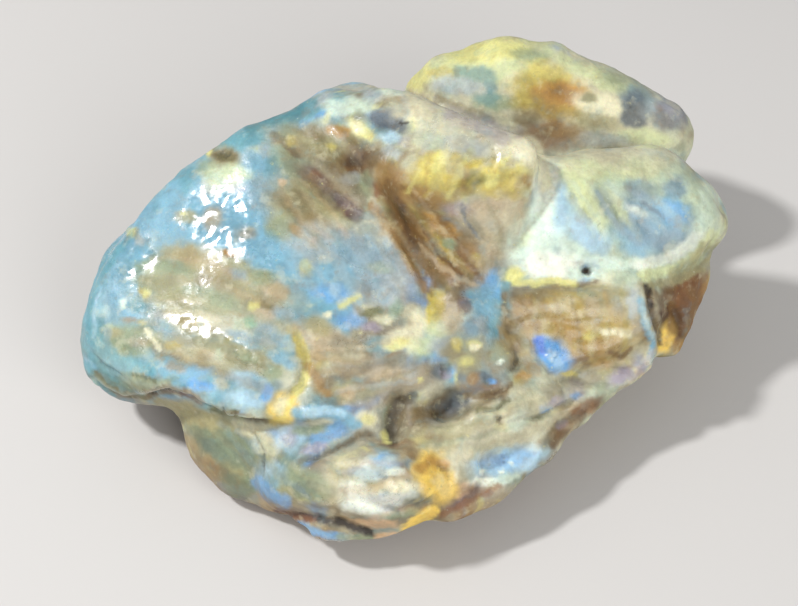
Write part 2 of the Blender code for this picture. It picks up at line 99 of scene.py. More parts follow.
# Each mark is its half width and its height in mm, and its path in pixels of the main view. It is
# a ridge, or with a height below zero a groove.
MARKS = {
    # The crown's face and top.
    "crown_groove": (1.2, -0.35, ((374, 190), (394, 226), (411, 247), (429, 286), (440, 300))),
    "crown_groove_floor": (0.45, -0.25, ((388, 212), (402, 240), (420, 268), (432, 292))),
    "groove_lip": (0.6, 0.3, ((370, 205), (392, 236), (409, 262), (422, 290))),
    "face_streak_1": (0.4, -0.3, ((405, 205), (425, 232), (452, 262), (478, 282))),
    "face_streak_2": (0.35, -0.25, ((420, 215), (445, 246), (472, 268))),
    "face_streak_3": (0.4, 0.25, ((428, 225), (450, 252), (476, 272))),
    "face_streak_4": (0.35, -0.25, ((455, 205), (472, 228), (492, 246))),
    "plateau_edge": (0.6, -0.3, ((455, 192), (480, 184), (512, 178))),
    "plateau_crease": (0.4, -0.25, ((492, 142), (495, 158), (488, 172))),
    "slate_notch": (0.7, -0.25, ((377, 118), (390, 124), (404, 123))),
    "umber_rim": (0.6, -0.3, ((330, 122), (345, 140), (362, 150), (378, 146))),
    "umber_crease": (0.8, -0.35, ((303, 172), (322, 186), (340, 205), (360, 215))),
    "umber_fold": (0.5, -0.15, ((262, 136), (280, 146), (298, 156))),
    # The left dome.
    "brown_pit": (0.6, -0.35, ((218, 150), (230, 156))),
    "dome_lip": (
        0.45, 0.55,
        ((98, 386), (125, 396), (150, 392), (170, 388), (195, 395), (230, 412), (262, 418), (300, 424)),
    ),
    "dome_lip_crack": (0.35, -0.8, ((148, 395), (168, 391), (182, 393), (206, 405), (228, 413))),
    "dome_second_lip": (0.35, -0.45, ((84, 372), (104, 388), (132, 402))),
    "dome_third_lip": (0.35, -0.3, ((88, 350), (104, 366), (128, 380))),
    "dome_groove_1": (0.5, -0.25, ((230, 352), (250, 366), (272, 372))),
    "dome_groove_2": (0.45, -0.25, ((148, 338), (164, 352), (190, 362))),
    "dome_groove_3": (0.5, -0.25, ((236, 262), (262, 270), (284, 284))),
    "vein": (0.45, -0.45, ((280, 402), (300, 384), (306, 358), (296, 336))),
    "vein_bead": (0.9, 0.45, ((281, 408),)),
    # Below the dome.
    "lower_crack": (0.4, -0.5, ((300, 462), (322, 454), (341, 446), (358, 437), (373, 434))),
    "blue_roll": (0.9, 0.35, ((300, 420), (325, 410), (345, 414), (356, 426))),
    "recess_crack": (0.35, -0.4, ((248, 428), (262, 452), (262, 480))),
    "bottom_crack": (0.5, -0.6, ((276, 512), (300, 517), (330, 520), (352, 526), (375, 534))),
    "bottom_lip": (0.7, 0.4, ((300, 530), (325, 536), (355, 538))),
    "lobe_crease": (0.5, -0.4, ((330, 462), (346, 482), (344, 502), (332, 512))),
    "lobe_edge": (0.5, -0.4, ((374, 505), (400, 512), (424, 505), (440, 492))),
    # The middle.
    "arc_line": (0.4, -0.15, ((318, 322), (345, 338), (375, 344), (396, 338))),
    "hook": (0.9, -0.5, ((412, 396), (400, 404), (393, 418), (392, 441))),
    "hollow": (1.3, -0.55, ((432, 414), (446, 409), (460, 402), (466, 396))),
    "hollow_tail": (0.4, -0.25, ((466, 396), (484, 394), (497, 392), (512, 386))),
    "hollow_lip": (0.6, 0.2, ((468, 398), (476, 396), (486, 397))),
    "slate_pit": (0.8, -0.4, ((440, 370), (452, 368))),
    "bubble": (1.0, 0.35, ((505, 356),)),
    "bubble_ring": (0.35, -0.3, ((514, 346), (517, 358), (512, 370), (503, 376))),
    "slate_spot": (0.6, -0.35, ((484, 381), (495, 380))),
    # The front ridge.
    "ridge_crack_1": (0.35, -0.45, ((478, 410), (498, 408), (508, 400))),
    "ridge_crack_2": (0.4, -0.45, ((520, 420), (544, 416), (566, 404), (588, 392))),
    "ridge_pit": (0.45, -0.5, ((499, 418), (501, 422))),
    "ridge_hollow": (0.9, -0.4, ((476, 464), (492, 458), (510, 462))),
    "red_edge": (0.6, -0.5, ((550, 430), (562, 422), (580, 414), (596, 404))),
    "orange_crease": (0.5, -0.4, ((436, 466), (448, 470), (452, 486))),
    # The wall under the right lobe.
    "rim_under": (0.4, -0.3, ((508, 290), (540, 286), (560, 290), (600, 290), (638, 292))),
    "wall_corner": (0.5, -0.25, ((503, 296), (506, 316), (512, 338))),
    "wall_slit": (0.5, -0.7, ((648, 288), (652, 304), (657, 324), (662, 344))),
    "wall_edge": (0.6, 0.35, ((641, 292), (645, 316), (653, 342), (648, 366), (632, 382))),
    "wall_crack_1": (0.4, -0.1, ((520, 322), (548, 318), (572, 324), (600, 320), (628, 326))),
    "wall_crack_2": (0.4, -0.1, ((535, 340), (560, 338), (575, 350), (604, 362), (622, 356))),
    "blue_eye": (1.1, 0.35, ((545, 352), (556, 358))),
    "eye_ring": (0.35, -0.35, ((534, 342), (538, 358), (550, 372), (566, 374))),
    "wall_foot": (0.5, -0.35, ((540, 384), (565, 380), (596, 384), (622, 380))),
    # The right lobe and the right foot.
    "black_pit": (0.45, -0.9, ((587, 271),)),
    "lobe_streak_3": (0.8, -0.1, ((640, 200), (662, 214), (682, 232))),
    "lobe_seam": (0.5, -0.12, ((566, 248), (580, 260), (600, 266))),
    "foot_crack": (0.5, -0.6, ((664, 300), (676, 312), (682, 330))),
    # The back lobe.
    "back_slate": (0.8, -0.3, ((634, 104), (640, 122))),
}
# These are steps instead: their path's left side is raised and its right side lowered.
LEDGES = ("dome_lip",)


# ---------------- the stains on the skin, with painted shade and painted light among them

# Each daub is a pigment, how strongly it covers, its place and its two half widths in view pixels,
# and where it is turned, its turn in degrees, clockwise as seen. Later daubs lie over earlier ones.
# Daubs in dark are painted shade: by the umber rim and crease, in the notch, the groove's head, by the foot.
DAUBS = {
    "left_dome": (
        ("sky", 1.0, 200, 265, 165, 120, -38), ("khaki", 0.9, 232, 274, 74, 17, 24),
        ("sage", 0.9, 172, 284, 38, 28, 8), ("khaki", 0.75, 205, 312, 70, 20, 12),
        ("sage", 0.85, 128, 340, 38, 20, 8), ("khaki", 0.85, 222, 354, 70, 20, 14),
        ("sand", 0.6, 210, 322, 52, 14, 12), ("tan", 0.5, 250, 300, 30, 12, 20),
        ("sea", 0.8, 240, 139, 26, 12, -10), ("sea", 0.5, 240, 141, 22, 10, -10),
        ("sea", 0.7, 181, 184, 12, 34, 42), ("teal", 0.7, 285, 116, 36, 10, -22),
        ("sky", 0.9, 170, 197, 12, 16, 40), ("sky", 0.8, 257, 167, 14, 20),
        ("grey_blue", 0.6, 262, 192, 16, 20, 20), ("teal", 0.6, 272, 165, 8, 14, 10),
        ("pale_green", 0.85, 234, 172, 18, 10, 10), ("sage", 0.7, 205, 168, 10, 8, -20),
        ("sand", 0.6, 211, 187, 10, 9), ("lilac", 0.5, 237, 188, 10, 6), ("celery", 0.6, 226, 176, 20, 15),
        ("khaki", 0.8, 224, 156, 17, 11, 10), ("umber", 0.8, 225, 155, 13, 8, 8),
        ("moss", 0.5, 226, 156, 9, 6, 20), ("lemon", 0.9, 208, 152, 4, 3.5), ("chalk", 0.9, 216, 141, 3, 3),
        ("khaki", 0.8, 187, 216, 13, 7, 10), ("lemon", 0.6, 182, 213, 4, 3), ("tan", 0.7, 212, 217, 11, 12),
        ("stone", 0.8, 245, 233, 11, 8), ("honey", 0.9, 231, 253, 10, 3.5, 15),
        ("orange", 0.7, 226, 251, 5, 2.5, 10), ("lemon", 0.8, 131, 233, 5, 5),
        ("peach", 0.6, 139, 242, 5, 5), ("khaki", 0.6, 137, 235, 5, 7), ("sage", 0.75, 278, 229, 12, 15),
        ("khaki", 0.85, 190, 256, 32, 9, 14), ("sage", 0.95, 168, 279, 32, 19, 12),
        ("honey", 0.5, 204, 264, 34, 9, 22), ("khaki", 0.8, 206, 271, 18, 10, 12),
        ("moss", 0.5, 168, 283, 20, 12), ("moss", 0.35, 244, 296, 30, 10, 10),
        ("sage", 0.4, 170, 281, 28, 16, 10), ("khaki", 0.5, 190, 296, 44, 14, 12),
        ("umber", 0.55, 203, 279, 6, 8, 10), ("khaki", 0.8, 236, 294, 26, 12, 12),
        ("sage", 0.8, 212, 300, 28, 14, 10), ("sage", 0.7, 262, 278, 14, 8, 12),
        ("grey_blue", 0.8, 240, 274, 10, 6, 15), ("tan", 0.8, 276, 291, 14, 10, 15),
        ("sand", 0.6, 196, 300, 12, 8), ("lemon", 0.85, 146, 293, 5, 6, -30),
        ("gold", 0.7, 140, 290, 3, 6, -20), ("mint", 0.8, 122, 303, 4, 4), ("teal", 0.85, 137, 305, 9, 9),
        ("sea", 0.7, 150, 309, 8, 6), ("honey", 0.6, 131, 320, 9, 4, 8), ("moss", 0.7, 141, 331, 7, 6),
        ("sage", 0.85, 124, 340, 26, 14, 8), ("sage_dark", 0.4, 128, 342, 20, 10, 8),
        ("lemon", 0.6, 108, 326, 6, 3), ("yellow", 0.5, 142, 322, 5, 3, 20), ("khaki", 0.8, 112, 332, 10, 6),
        ("stone", 0.5, 136, 343, 9, 6), ("grey_blue", 0.5, 159, 317, 6, 8),
        ("sand", 0.8, 208, 320, 14, 8, 5), ("khaki", 0.75, 181, 318, 16, 10),
        ("lemon", 0.9, 254, 306, 6, 4.5), ("moss", 0.7, 266, 305, 6, 4), ("tan", 0.8, 264, 315, 12, 6, 10),
        ("jade", 0.7, 250, 322, 6, 7), ("pale_green", 0.7, 237, 325, 6, 7, -10),
        ("sky", 0.8, 242, 339, 20, 7, 25), ("grey_blue", 0.5, 262, 333, 12, 7, 20),
        ("gold", 0.7, 229, 339, 5, 4), ("khaki", 0.9, 195, 355, 32, 9, 14),
        ("sand", 0.4, 192, 353, 30, 9, 14), ("gold", 0.75, 173, 346, 8, 4, 5),
        ("sand", 0.8, 216, 358, 12, 7, 15), ("honey", 0.4, 203, 356, 8, 5), ("stone", 0.7, 158, 352, 6, 7),
        ("stone", 0.8, 176, 367, 10, 5, 10), ("pale_green", 0.7, 218, 356, 4, 6),
        ("sage", 0.75, 249, 358, 13, 6, 25), ("sky", 0.8, 282, 360, 15, 7, 25),
        ("sage", 0.8, 274, 374, 12, 8, 10), ("pale_sky", 0.75, 243, 378, 15, 10, 20),
        ("sand", 0.7, 221, 384, 7, 6), ("azure", 0.8, 201, 386, 13, 6, 12), ("sea", 0.8, 217, 396, 8, 5, 15),
        ("pale_sky", 0.85, 246, 399, 18, 8, 18), ("pale_sky", 0.4, 222, 395, 24, 7, 15),
        ("azure", 0.85, 267, 394, 6, 9, 10), ("sky", 0.6, 258, 382, 8, 6), ("sky", 0.8, 290, 272, 10, 8, 10),
        ("sky", 0.7, 273, 250, 16, 14, 20), ("khaki", 0.6, 285, 325, 12, 10), ("gold", 0.5, 292, 330, 6, 5),
    ),
    "left_dome_rim": (
        ("pale_sky", 0.7, 101, 291, 8, 20, 14), ("mint", 0.5, 105, 312, 8, 8), ("sea", 0.6, 98, 330, 8, 10),
        ("moss", 0.75, 139, 384, 17, 8, 4), ("sage", 0.7, 131, 378, 12, 6, 6),
        ("sea", 0.7, 112, 372, 14, 8, 40),
    ),
    "umber_country": (
        ("khaki", 0.95, 314, 208, 50, 36, 32), ("sage", 0.7, 300, 152, 34, 26, 20),
        ("khaki", 0.9, 326, 142, 46, 18), ("stone", 0.8, 350, 184, 26, 18, 30),
        ("sage", 0.6, 362, 196, 10, 16), ("tan", 0.5, 304, 206, 20, 12, 35),
        ("umber", 0.5, 330, 176, 40, 26, 35), ("umber", 0.9, 356, 158, 32, 17, -8),
        ("brown", 0.9, 358, 160, 22, 12, -8), ("dark", 0.6, 356, 159, 13, 7, -8),
        ("umber", 0.6, 316, 132, 22, 8, 5), ("orange", 0.85, 339, 130, 12, 5, -5),
        ("peach", 0.7, 343, 136, 6, 4), ("lemon", 0.85, 362, 130, 15, 7, 38),
        ("cream", 0.6, 358, 128, 8, 5, 38), ("yellow", 0.8, 332, 146, 6, 4, 20),
        ("khaki", 0.7, 318, 150, 12, 6, 10), ("umber", 0.6, 281, 140, 16, 6, 32),
        ("brown", 0.5, 297, 152, 10, 5, 32), ("gold", 0.6, 291, 141, 7, 5, 30),
        ("plum", 0.7, 309, 174, 14, 8, 30), ("rust", 0.6, 316, 176, 7, 5, 20),
        ("plum", 0.75, 326, 188, 14, 8, 45), ("umber", 0.8, 334, 190, 12, 6, 45),
        ("plum", 0.95, 346, 206, 16, 10, 38), ("stone", 0.6, 357, 200, 9, 6, 30),
        ("stone", 0.5, 330, 200, 9, 5, 40), ("dark", 0.45, 339, 199, 11, 6, 42),
        ("dark", 0.5, 356, 215, 8, 6, 20), ("mist", 0.5, 352, 178, 9, 6),
        ("umber", 0.6, 296, 206, 26, 14, 40), ("honey", 0.5, 318, 224, 20, 10, 30),
        ("moss", 0.35, 300, 206, 32, 18, 35), ("moss", 0.3, 326, 150, 34, 14),
        ("sage", 0.7, 284, 226, 11, 13), ("orange", 0.75, 297, 231, 5, 9, -40), ("tan", 0.8, 312, 243, 9, 8),
        ("peach", 0.7, 314, 240, 6, 5), ("tan", 0.7, 343, 232, 9, 7), ("peach", 0.6, 283, 183, 5, 5),
    ),
    "top_rim_and_notch": (
        ("mist", 0.8, 320, 101, 14, 5, -25), ("mint", 0.65, 337, 108, 14, 8, 5),
        ("teal", 0.6, 344, 98, 9, 4, 20), ("pale_green", 0.8, 356, 107, 10, 8),
        ("mist", 0.8, 374, 96, 13, 7), ("grey_blue", 0.5, 368, 101, 7, 5),
        ("slate", 1.0, 386, 119, 15, 11, 20), ("slate", 0.95, 397, 127, 13, 6, 14),
        ("slate", 0.8, 388, 120, 17, 12, 18), ("dark", 0.35, 388, 122, 14, 7, 14),
        ("khaki", 0.7, 397, 116, 6, 4), ("pale_sky", 0.8, 392, 138, 12, 7, 5),
        ("lilac", 0.5, 404, 142, 8, 6), ("mist", 0.7, 391, 152, 10, 9),
    ),
    "plateau": (
        ("sand", 1.0, 465, 128, 78, 30, 17), ("mint", 0.6, 393, 91, 16, 5, 5),
        ("mint", 0.5, 352, 104, 24, 9), ("cream", 0.75, 418, 118, 11, 12), ("lemon", 0.45, 412, 124, 7, 8),
        ("cream", 0.5, 440, 120, 14, 14), ("mist", 0.6, 463, 144, 24, 10, 8),
        ("pale_green", 0.5, 430, 141, 16, 9), ("stone", 0.75, 462, 115, 18, 5, 18),
        ("lilac", 0.75, 494, 124, 17, 8, 22), ("stone", 0.7, 502, 135, 8, 7, 10),
        # Cream and chalk at the plateau's lip: partly its pale colour, partly painted light on a face in
        # shade.
        ("mist", 0.6, 480, 150, 12, 8), ("cream", 1.0, 526, 152, 17, 20, 10),
        ("chalk", 0.9, 525, 154, 12, 12),
    ),
    "crown_face": (
        ("tan", 1.0, 500, 224, 44, 46, 22), ("sand", 0.5, 516, 232, 22, 26, 20),
        ("sand", 0.5, 500, 230, 26, 20, 20), ("gold", 1.0, 468, 178, 70, 20, -2),
        ("gold", 0.8, 440, 180, 30, 26, 10), ("yellow", 0.9, 496, 168, 26, 10, -6),
        ("yellow", 0.9, 434, 168, 16, 18, 20), ("lemon", 0.85, 507, 163, 8, 6),
        ("lemon", 0.8, 491, 180, 7, 7), ("lemon", 0.9, 440, 162, 7, 12, 22), ("sand", 0.6, 455, 168, 11, 10),
        ("moss", 0.7, 475, 178, 12, 9), ("umber", 0.6, 462, 192, 18, 7, -10),
        ("honey", 0.9, 424, 198, 30, 12, 24), ("gold", 0.6, 502, 192, 26, 8),
        ("honey", 0.75, 528, 180, 10, 6, 20), ("lemon", 0.8, 522, 170, 7, 7),
        ("lilac", 0.6, 458, 209, 14, 9, 10), ("stone", 0.75, 470, 224, 9, 20, -30),
        ("umber", 0.9, 436, 238, 40, 26, 45), ("honey", 0.9, 452, 260, 44, 20, 45),
        # The orange and peach spots on the crown's face here are a painted glint.
        ("gold", 0.5, 440, 250, 12, 20, -40), ("orange", 0.85, 434, 222, 16, 8, 40),
        ("peach", 0.9, 432, 228, 5, 6), ("orange", 0.75, 452, 232, 8, 9, -30),
        ("jade", 0.9, 450, 243, 8, 5, 20), ("honey", 0.6, 468, 252, 12, 14), ("gold", 0.7, 477, 261, 9, 7),
        ("tan", 0.7, 488, 262, 9, 14, 20), ("brown", 0.6, 446, 276, 18, 10, 50),
    ),
    "groove_head": (
        ("honey", 0.8, 392, 178, 14, 16, 20), ("rust", 0.8, 379, 190, 6, 9), ("gold", 0.6, 388, 165, 9, 9),
        ("umber", 0.7, 391, 168, 4, 8, 10), ("sand", 0.6, 378, 172, 6, 9), ("sage", 0.6, 366, 182, 7, 10),
        ("umber", 0.8, 378, 160, 10, 10), ("brown", 0.4, 388, 186, 9, 16, 15),
        ("dark", 0.35, 390, 190, 5, 10, 10),
    ),
    "blue_valley": (
        ("mist", 0.95, 352, 262, 62, 34, 20), ("grey_blue", 0.8, 362, 250, 36, 16, 10),
        ("grey_blue", 0.4, 350, 266, 52, 28, 20), ("sky", 0.9, 332, 276, 28, 16, 10),
        ("azure", 0.8, 330, 292, 20, 9, 5), ("pale_sky", 0.7, 334, 290, 7, 8),
        ("lemon", 0.6, 306, 266, 7, 7), ("khaki", 0.5, 306, 272, 8, 7),
        ("slate", 0.35, 376, 278, 13, 17, 20), ("grey_blue", 0.7, 381, 262, 14, 9, 30),
        ("mist", 0.8, 393, 290, 13, 16, 10), ("sage", 0.5, 378, 268, 14, 6),
        ("azure", 0.7, 349, 320, 14, 10, 10), ("sky", 0.7, 341, 310, 10, 7),
        ("moss", 0.8, 371, 312, 12, 4.5, -4), ("lilac", 0.75, 373, 327, 11, 6, -5),
        ("cream", 0.9, 329, 314, 4.5, 4), ("cream", 0.95, 388, 320, 5.5, 5),
        ("jade", 0.4, 396, 308, 6, 10, 20),
    ),
    "midriff": (
        ("tan", 0.95, 330, 348, 42, 20, 22), ("stone", 0.85, 343, 346, 16, 8, 25),
        ("khaki", 0.8, 316, 326, 16, 10, 20), ("sand", 0.7, 355, 352, 14, 7, -10),
        ("khaki", 0.7, 328, 368, 14, 7, 5), ("lemon", 0.5, 322, 366, 7, 4),
        ("cream", 0.9, 404, 337, 20, 12, -22), ("lemon", 0.8, 398, 344, 12, 6, -20),
        ("sand", 0.8, 412, 316, 8, 12, 10), ("celery", 0.85, 438, 328, 12, 14, -10),
        ("mint", 0.5, 442, 324, 6, 9, -10), ("celery", 0.8, 424, 346, 15, 10, -20),
        ("mist", 0.7, 440, 346, 14, 10), ("yellow", 0.9, 429, 312, 5, 12, 14),
        ("gold", 0.8, 433, 300, 6, 10, -5), ("honey", 0.6, 440, 304, 5, 8),
        ("stone", 0.95, 402, 380, 36, 19, -8), ("tan", 0.5, 404, 378, 26, 11, -8),
        ("tan", 0.7, 378, 374, 16, 8, -15), ("khaki", 0.85, 352, 392, 24, 12),
        ("peach", 0.5, 347, 392, 8, 6), ("cream", 0.75, 366, 418, 12, 10), ("lemon", 0.6, 368, 419, 7, 6),
        ("honey", 0.75, 360, 386, 7, 4), ("wall_gold", 0.55, 316, 370, 12, 22, -20),
        ("wall_gold", 0.5, 325, 388, 13, 9), ("mist", 0.5, 410, 372, 9, 7), ("slate", 0.8, 441, 371, 10, 8),
        ("azure", 0.75, 453, 369, 6, 5.5), ("lilac", 0.6, 447, 374, 6, 5), ("lemon", 0.85, 420, 381, 3, 3),
        ("honey", 0.7, 393, 354, 9, 3, -15), ("sand", 0.6, 430, 392, 14, 7, -20),
        ("stone", 0.6, 458, 386, 12, 6, -20),
    ),
    "blue_gully": (
        ("azure", 0.5, 491, 286, 9, 11, 10), ("grey_blue", 0.5, 482, 306, 15, 26, 12),
        ("sky", 0.75, 484, 304, 10, 18, 12), ("grey_blue", 0.85, 474, 330, 14, 12, -10),
        ("tan", 0.85, 450, 312, 14, 24, 5), ("stone", 0.6, 456, 330, 11, 12),
        ("plum", 0.7, 464, 304, 7, 12, -5), ("umber", 0.7, 454, 292, 11, 10),
        ("gold", 0.8, 436, 306, 8, 20, 6), ("yellow", 0.7, 430, 314, 5, 12, 12),
        ("cream", 0.8, 419, 322, 8, 14, 10), ("mist", 0.5, 480, 322, 7, 6),
    ),
    "bubble": (
        ("khaki", 0.9, 464, 354, 26, 20, 10), ("stone", 0.9, 500, 357, 20, 20),
        ("sage", 0.5, 498, 352, 12, 12), ("umber", 0.5, 513, 366, 8, 8), ("umber", 0.45, 452, 352, 12, 8),
        ("lemon", 0.7, 466, 361, 8, 6), ("lemon", 0.6, 474, 345, 7, 5), ("yellow", 0.6, 457, 343, 6, 8),
        ("cream", 0.9, 475, 347, 5, 4), ("chalk", 0.95, 500, 362, 3, 2.5),
        ("honey", 0.75, 474, 379, 8, 6, -30), ("slate", 0.75, 486, 377, 8, 4),
        ("azure", 0.85, 492, 381, 5, 3.5), ("orange", 0.85, 522, 377, 9, 7, -10),
        ("gold", 0.6, 517, 382, 6, 5), ("honey", 0.75, 505, 326, 7, 14), ("plum", 0.6, 516, 344, 5, 9),
        ("mist", 0.6, 527, 360, 5, 5),
    ),
    "wall": (
        ("wall_gold", 1.0, 577, 328, 72, 46, 6), ("umber", 0.75, 526, 295, 26, 10, -4),
        ("stone", 0.7, 524, 288, 14, 6), ("khaki", 0.8, 598, 292, 34, 9, 2),
        ("stone", 0.5, 610, 304, 26, 13, 10), ("gold", 0.4, 572, 326, 56, 32, 6),
        ("honey", 0.6, 530, 314, 18, 16, 30), ("sand", 0.5, 562, 306, 16, 9, -20),
        ("honey", 0.6, 568, 328, 18, 12, 40), ("umber", 0.5, 516, 330, 10, 20),
        ("honey", 0.6, 598, 350, 20, 13, -20), ("umber", 0.35, 548, 334, 14, 9, 30),
        ("umber", 0.35, 594, 320, 12, 8, 40), ("tan", 0.6, 592, 306, 10, 8),
        ("umber", 0.4, 620, 348, 12, 7, -20), ("orange", 0.4, 602, 366, 8, 7),
        # The cream and lemon spots in a row low on the wall are painted glints.
        ("cream", 0.9, 608, 332, 13, 4, 4), ("cream", 0.9, 625, 334, 9, 5), ("lemon", 0.5, 592, 336, 8, 4),
        ("mist", 0.85, 633, 302, 9, 18, 5), ("khaki", 0.7, 600, 374, 20, 7, 5),
        ("stone", 0.8, 583, 379, 22, 8, 5), ("plum", 0.55, 580, 361, 10, 6), ("honey", 0.6, 534, 368, 9, 8),
        ("azure", 1.0, 552, 354, 24, 14, 40), ("azure", 1.0, 553, 356, 18, 10, 40),
        ("cobalt", 0.8, 543, 345, 10, 9, 30), ("yellow", 0.95, 569, 374, 9, 3, 5),
        ("lilac", 0.9, 622, 376, 17, 9, -28), ("cobalt", 0.35, 640, 362, 7, 12, -10),
        ("peach", 0.5, 640, 372, 7, 6), ("plum", 0.6, 628, 389, 13, 5, -18),
        ("lilac", 0.7, 575, 391, 11, 10, 15),
    ),
    "right_lobe": (
        ("pale_green", 1.0, 640, 212, 92, 66, 8), ("mint", 1.0, 557, 198, 22, 50, 12),
        ("celery", 0.9, 602, 168, 62, 16, 2), ("tan", 0.6, 605, 158, 11, 6),
        ("mint", 0.7, 655, 151, 26, 5, 6), ("sage", 0.4, 690, 172, 17, 10, 30),
        ("mint", 0.5, 708, 205, 10, 34, 6), ("sage", 0.25, 709, 206, 8, 22, 6),
        ("celery", 0.9, 578, 194, 12, 32, -26), ("celery", 0.85, 594, 208, 10, 32, -30),
        # Pale sky, mint and chalk here: partly the lobe's pale colour, partly painted light on a shaded
        # flank.
        ("pale_sky", 0.95, 558, 206, 12, 30, -4), ("mint", 1.0, 540, 216, 14, 30, 18),
        ("chalk", 1.0, 547, 184, 13, 28, 10), ("sky", 0.5, 570, 208, 6, 16, -30),
        ("pale_sky", 0.95, 587, 236, 13, 26, -48), ("mint", 0.8, 572, 251, 15, 9, 20),
        ("mint", 1.0, 532, 246, 28, 24, -30), ("celery", 0.5, 524, 240, 12, 6, -50),
        ("chalk", 1.0, 551, 264, 30, 14), ("lemon", 0.95, 514, 276, 10, 8),
        ("grey_blue", 1.0, 652, 224, 44, 34, 22), ("sky", 0.7, 634, 240, 30, 15, 24),
        ("slate", 0.3, 656, 236, 32, 15, 22), ("grey_blue", 0.75, 638, 187, 17, 10),
        ("grey_blue", 0.9, 675, 188, 13, 12), ("sky", 0.9, 670, 210, 18, 14, 20),
        ("azure", 0.6, 673, 212, 16, 11, 30), ("sky", 0.45, 658, 215, 28, 17, 22),
        ("sage", 0.8, 607, 204, 9, 28, -28), ("sage_dark", 0.5, 612, 212, 4, 20, -30),
        ("celery", 0.8, 620, 208, 5, 20, -30), ("cream", 0.35, 638, 212, 13, 4.5, 22),
        ("chalk", 0.4, 632, 208, 8, 3, 20), ("mint", 0.9, 618, 264, 36, 6, 6),
    ),
    "right_foot": (
        # The foot's dark brown: partly its own brown, partly painted shade under the right lobe.
        ("brown", 1.0, 682, 312, 32, 48, 25), ("rust", 0.8, 692, 300, 18, 26, 20),
        ("brown", 0.7, 690, 310, 14, 30, 20), ("orange", 0.35, 704, 290, 5, 13, 20),
        ("stone", 0.6, 660, 303, 6, 9), ("dark", 0.5, 664, 318, 8, 6),
        ("amber_glow", 1.0, 666, 338, 9, 16, 10), ("orange", 0.6, 678, 346, 6, 10, 20),
        ("honey", 0.8, 673, 326, 6, 9), ("moss", 0.7, 664, 361, 10, 6),
    ),
    "back_lobe": (
        ("sand", 1.0, 550, 100, 150, 62, 14), ("celery", 0.9, 486, 62, 76, 26, -8),
        ("lemon", 0.85, 488, 51, 44, 13, -8), ("lemon", 0.8, 418, 76, 14, 18, 30),
        ("gold", 0.6, 442, 72, 19, 6, -4), ("mist", 0.85, 459, 86, 32, 10, 4),
        ("sage", 0.9, 494, 101, 24, 9, 4), ("teal", 0.5, 488, 98, 14, 8), ("cream", 0.6, 515, 84, 12, 14),
        ("sage", 0.7, 533, 57, 19, 8, 10), ("yellow", 0.8, 546, 76, 27, 14, 10),
        ("gold", 1.0, 552, 98, 42, 24, 10), ("honey", 0.5, 552, 114, 28, 9, 8),
        ("orange", 1.0, 562, 94, 30, 14, 6), ("rust", 0.35, 567, 95, 20, 7, 8),
        ("honey", 0.3, 554, 102, 26, 14, 8), ("umber", 0.7, 526, 118, 15, 9, 5),
        ("rust", 0.7, 550, 136, 32, 17), ("honey", 0.5, 560, 130, 22, 8),
        ("celery", 0.8, 596, 76, 40, 9, 24), ("cream", 0.9, 604, 108, 30, 13, 14),
        ("khaki", 0.6, 598, 122, 28, 8, 6), ("moss", 0.7, 589, 98, 9, 5), ("sage", 0.6, 624, 84, 30, 9, 26),
        ("grey_blue", 0.7, 640, 102, 20, 15, 35), ("slate", 0.8, 636, 108, 12, 19, -15),
        ("slate", 0.9, 632, 119, 13, 8, 10), ("stone", 0.3, 637, 116, 12, 12),
        ("mist", 0.7, 668, 110, 20, 20, 30), ("lilac", 0.6, 672, 112, 16, 16, 30),
        ("stone", 0.6, 664, 120, 14, 9, 20), ("slate", 0.4, 670, 113, 20, 18, 30),
        ("celery", 0.8, 644, 138, 30, 9, 8), ("mist", 0.5, 606, 140, 28, 8, 4),
    ),
    "recess": (
        ("khaki", 0.95, 200, 420, 36, 14, 24), ("sage_dark", 0.95, 224, 447, 30, 15, 14),
        ("sage_dark", 0.8, 240, 480, 22, 20, 30), ("khaki", 0.85, 235, 469, 12, 6, 32),
        ("cream", 0.8, 248, 428, 14, 8, 30), ("sand", 0.9, 266, 444, 9, 12, -10),
        ("sage_dark", 0.7, 206, 438, 18, 9, 30), ("slate", 0.3, 226, 452, 26, 12, 20),
        ("sage", 0.4, 236, 456, 26, 15, 20), ("pale_sky", 0.7, 290, 440, 16, 14),
        ("lilac", 0.6, 288, 436, 9, 10), ("pale_sky", 0.5, 284, 430, 5, 6),
        ("lilac", 0.7, 314, 448, 16, 5.5, -18), ("sage", 0.8, 309, 430, 18, 4.5, -4),
        ("sand", 0.7, 318, 422, 18, 3.5, -6), ("pale_sky", 0.8, 270, 474, 18, 14),
        ("sky", 0.6, 280, 486, 14, 8, 30), ("sage", 0.9, 308, 484, 30, 17, 14),
        ("khaki", 0.8, 285, 491, 9, 6, 20), ("slate", 0.35, 308, 488, 14, 8),
    ),
    "lower_lobe": (
        ("sand", 0.95, 352, 478, 32, 26, 20), ("khaki", 0.5, 340, 468, 14, 12),
        ("pale_sky", 0.9, 383, 460, 17, 10, 8), ("azure", 0.4, 380, 458, 8, 5),
        ("chalk", 0.85, 395, 472, 10, 5), ("grey_blue", 0.7, 411, 464, 9, 6, 10),
        ("khaki", 0.6, 374, 487, 16, 7), ("chalk", 1.0, 368, 502, 27, 14, 8),
        ("chalk", 0.8, 354, 490, 14, 13), ("pale_sky", 0.5, 368, 474, 16, 8, 10),
        ("lilac", 0.45, 393, 506, 16, 7, 4), ("chalk", 0.7, 410, 492, 12, 8, -10),
        ("chalk", 0.5, 395, 500, 15, 8), ("cream", 0.8, 398, 486, 14, 6, 10),
        ("peach", 0.8, 372, 523, 24, 5, 4), ("sage", 0.6, 398, 515, 18, 4, -5),
        ("amber_glow", 1.0, 436, 476, 22, 23, -10), ("peach", 0.9, 387, 537, 16, 5, -4),
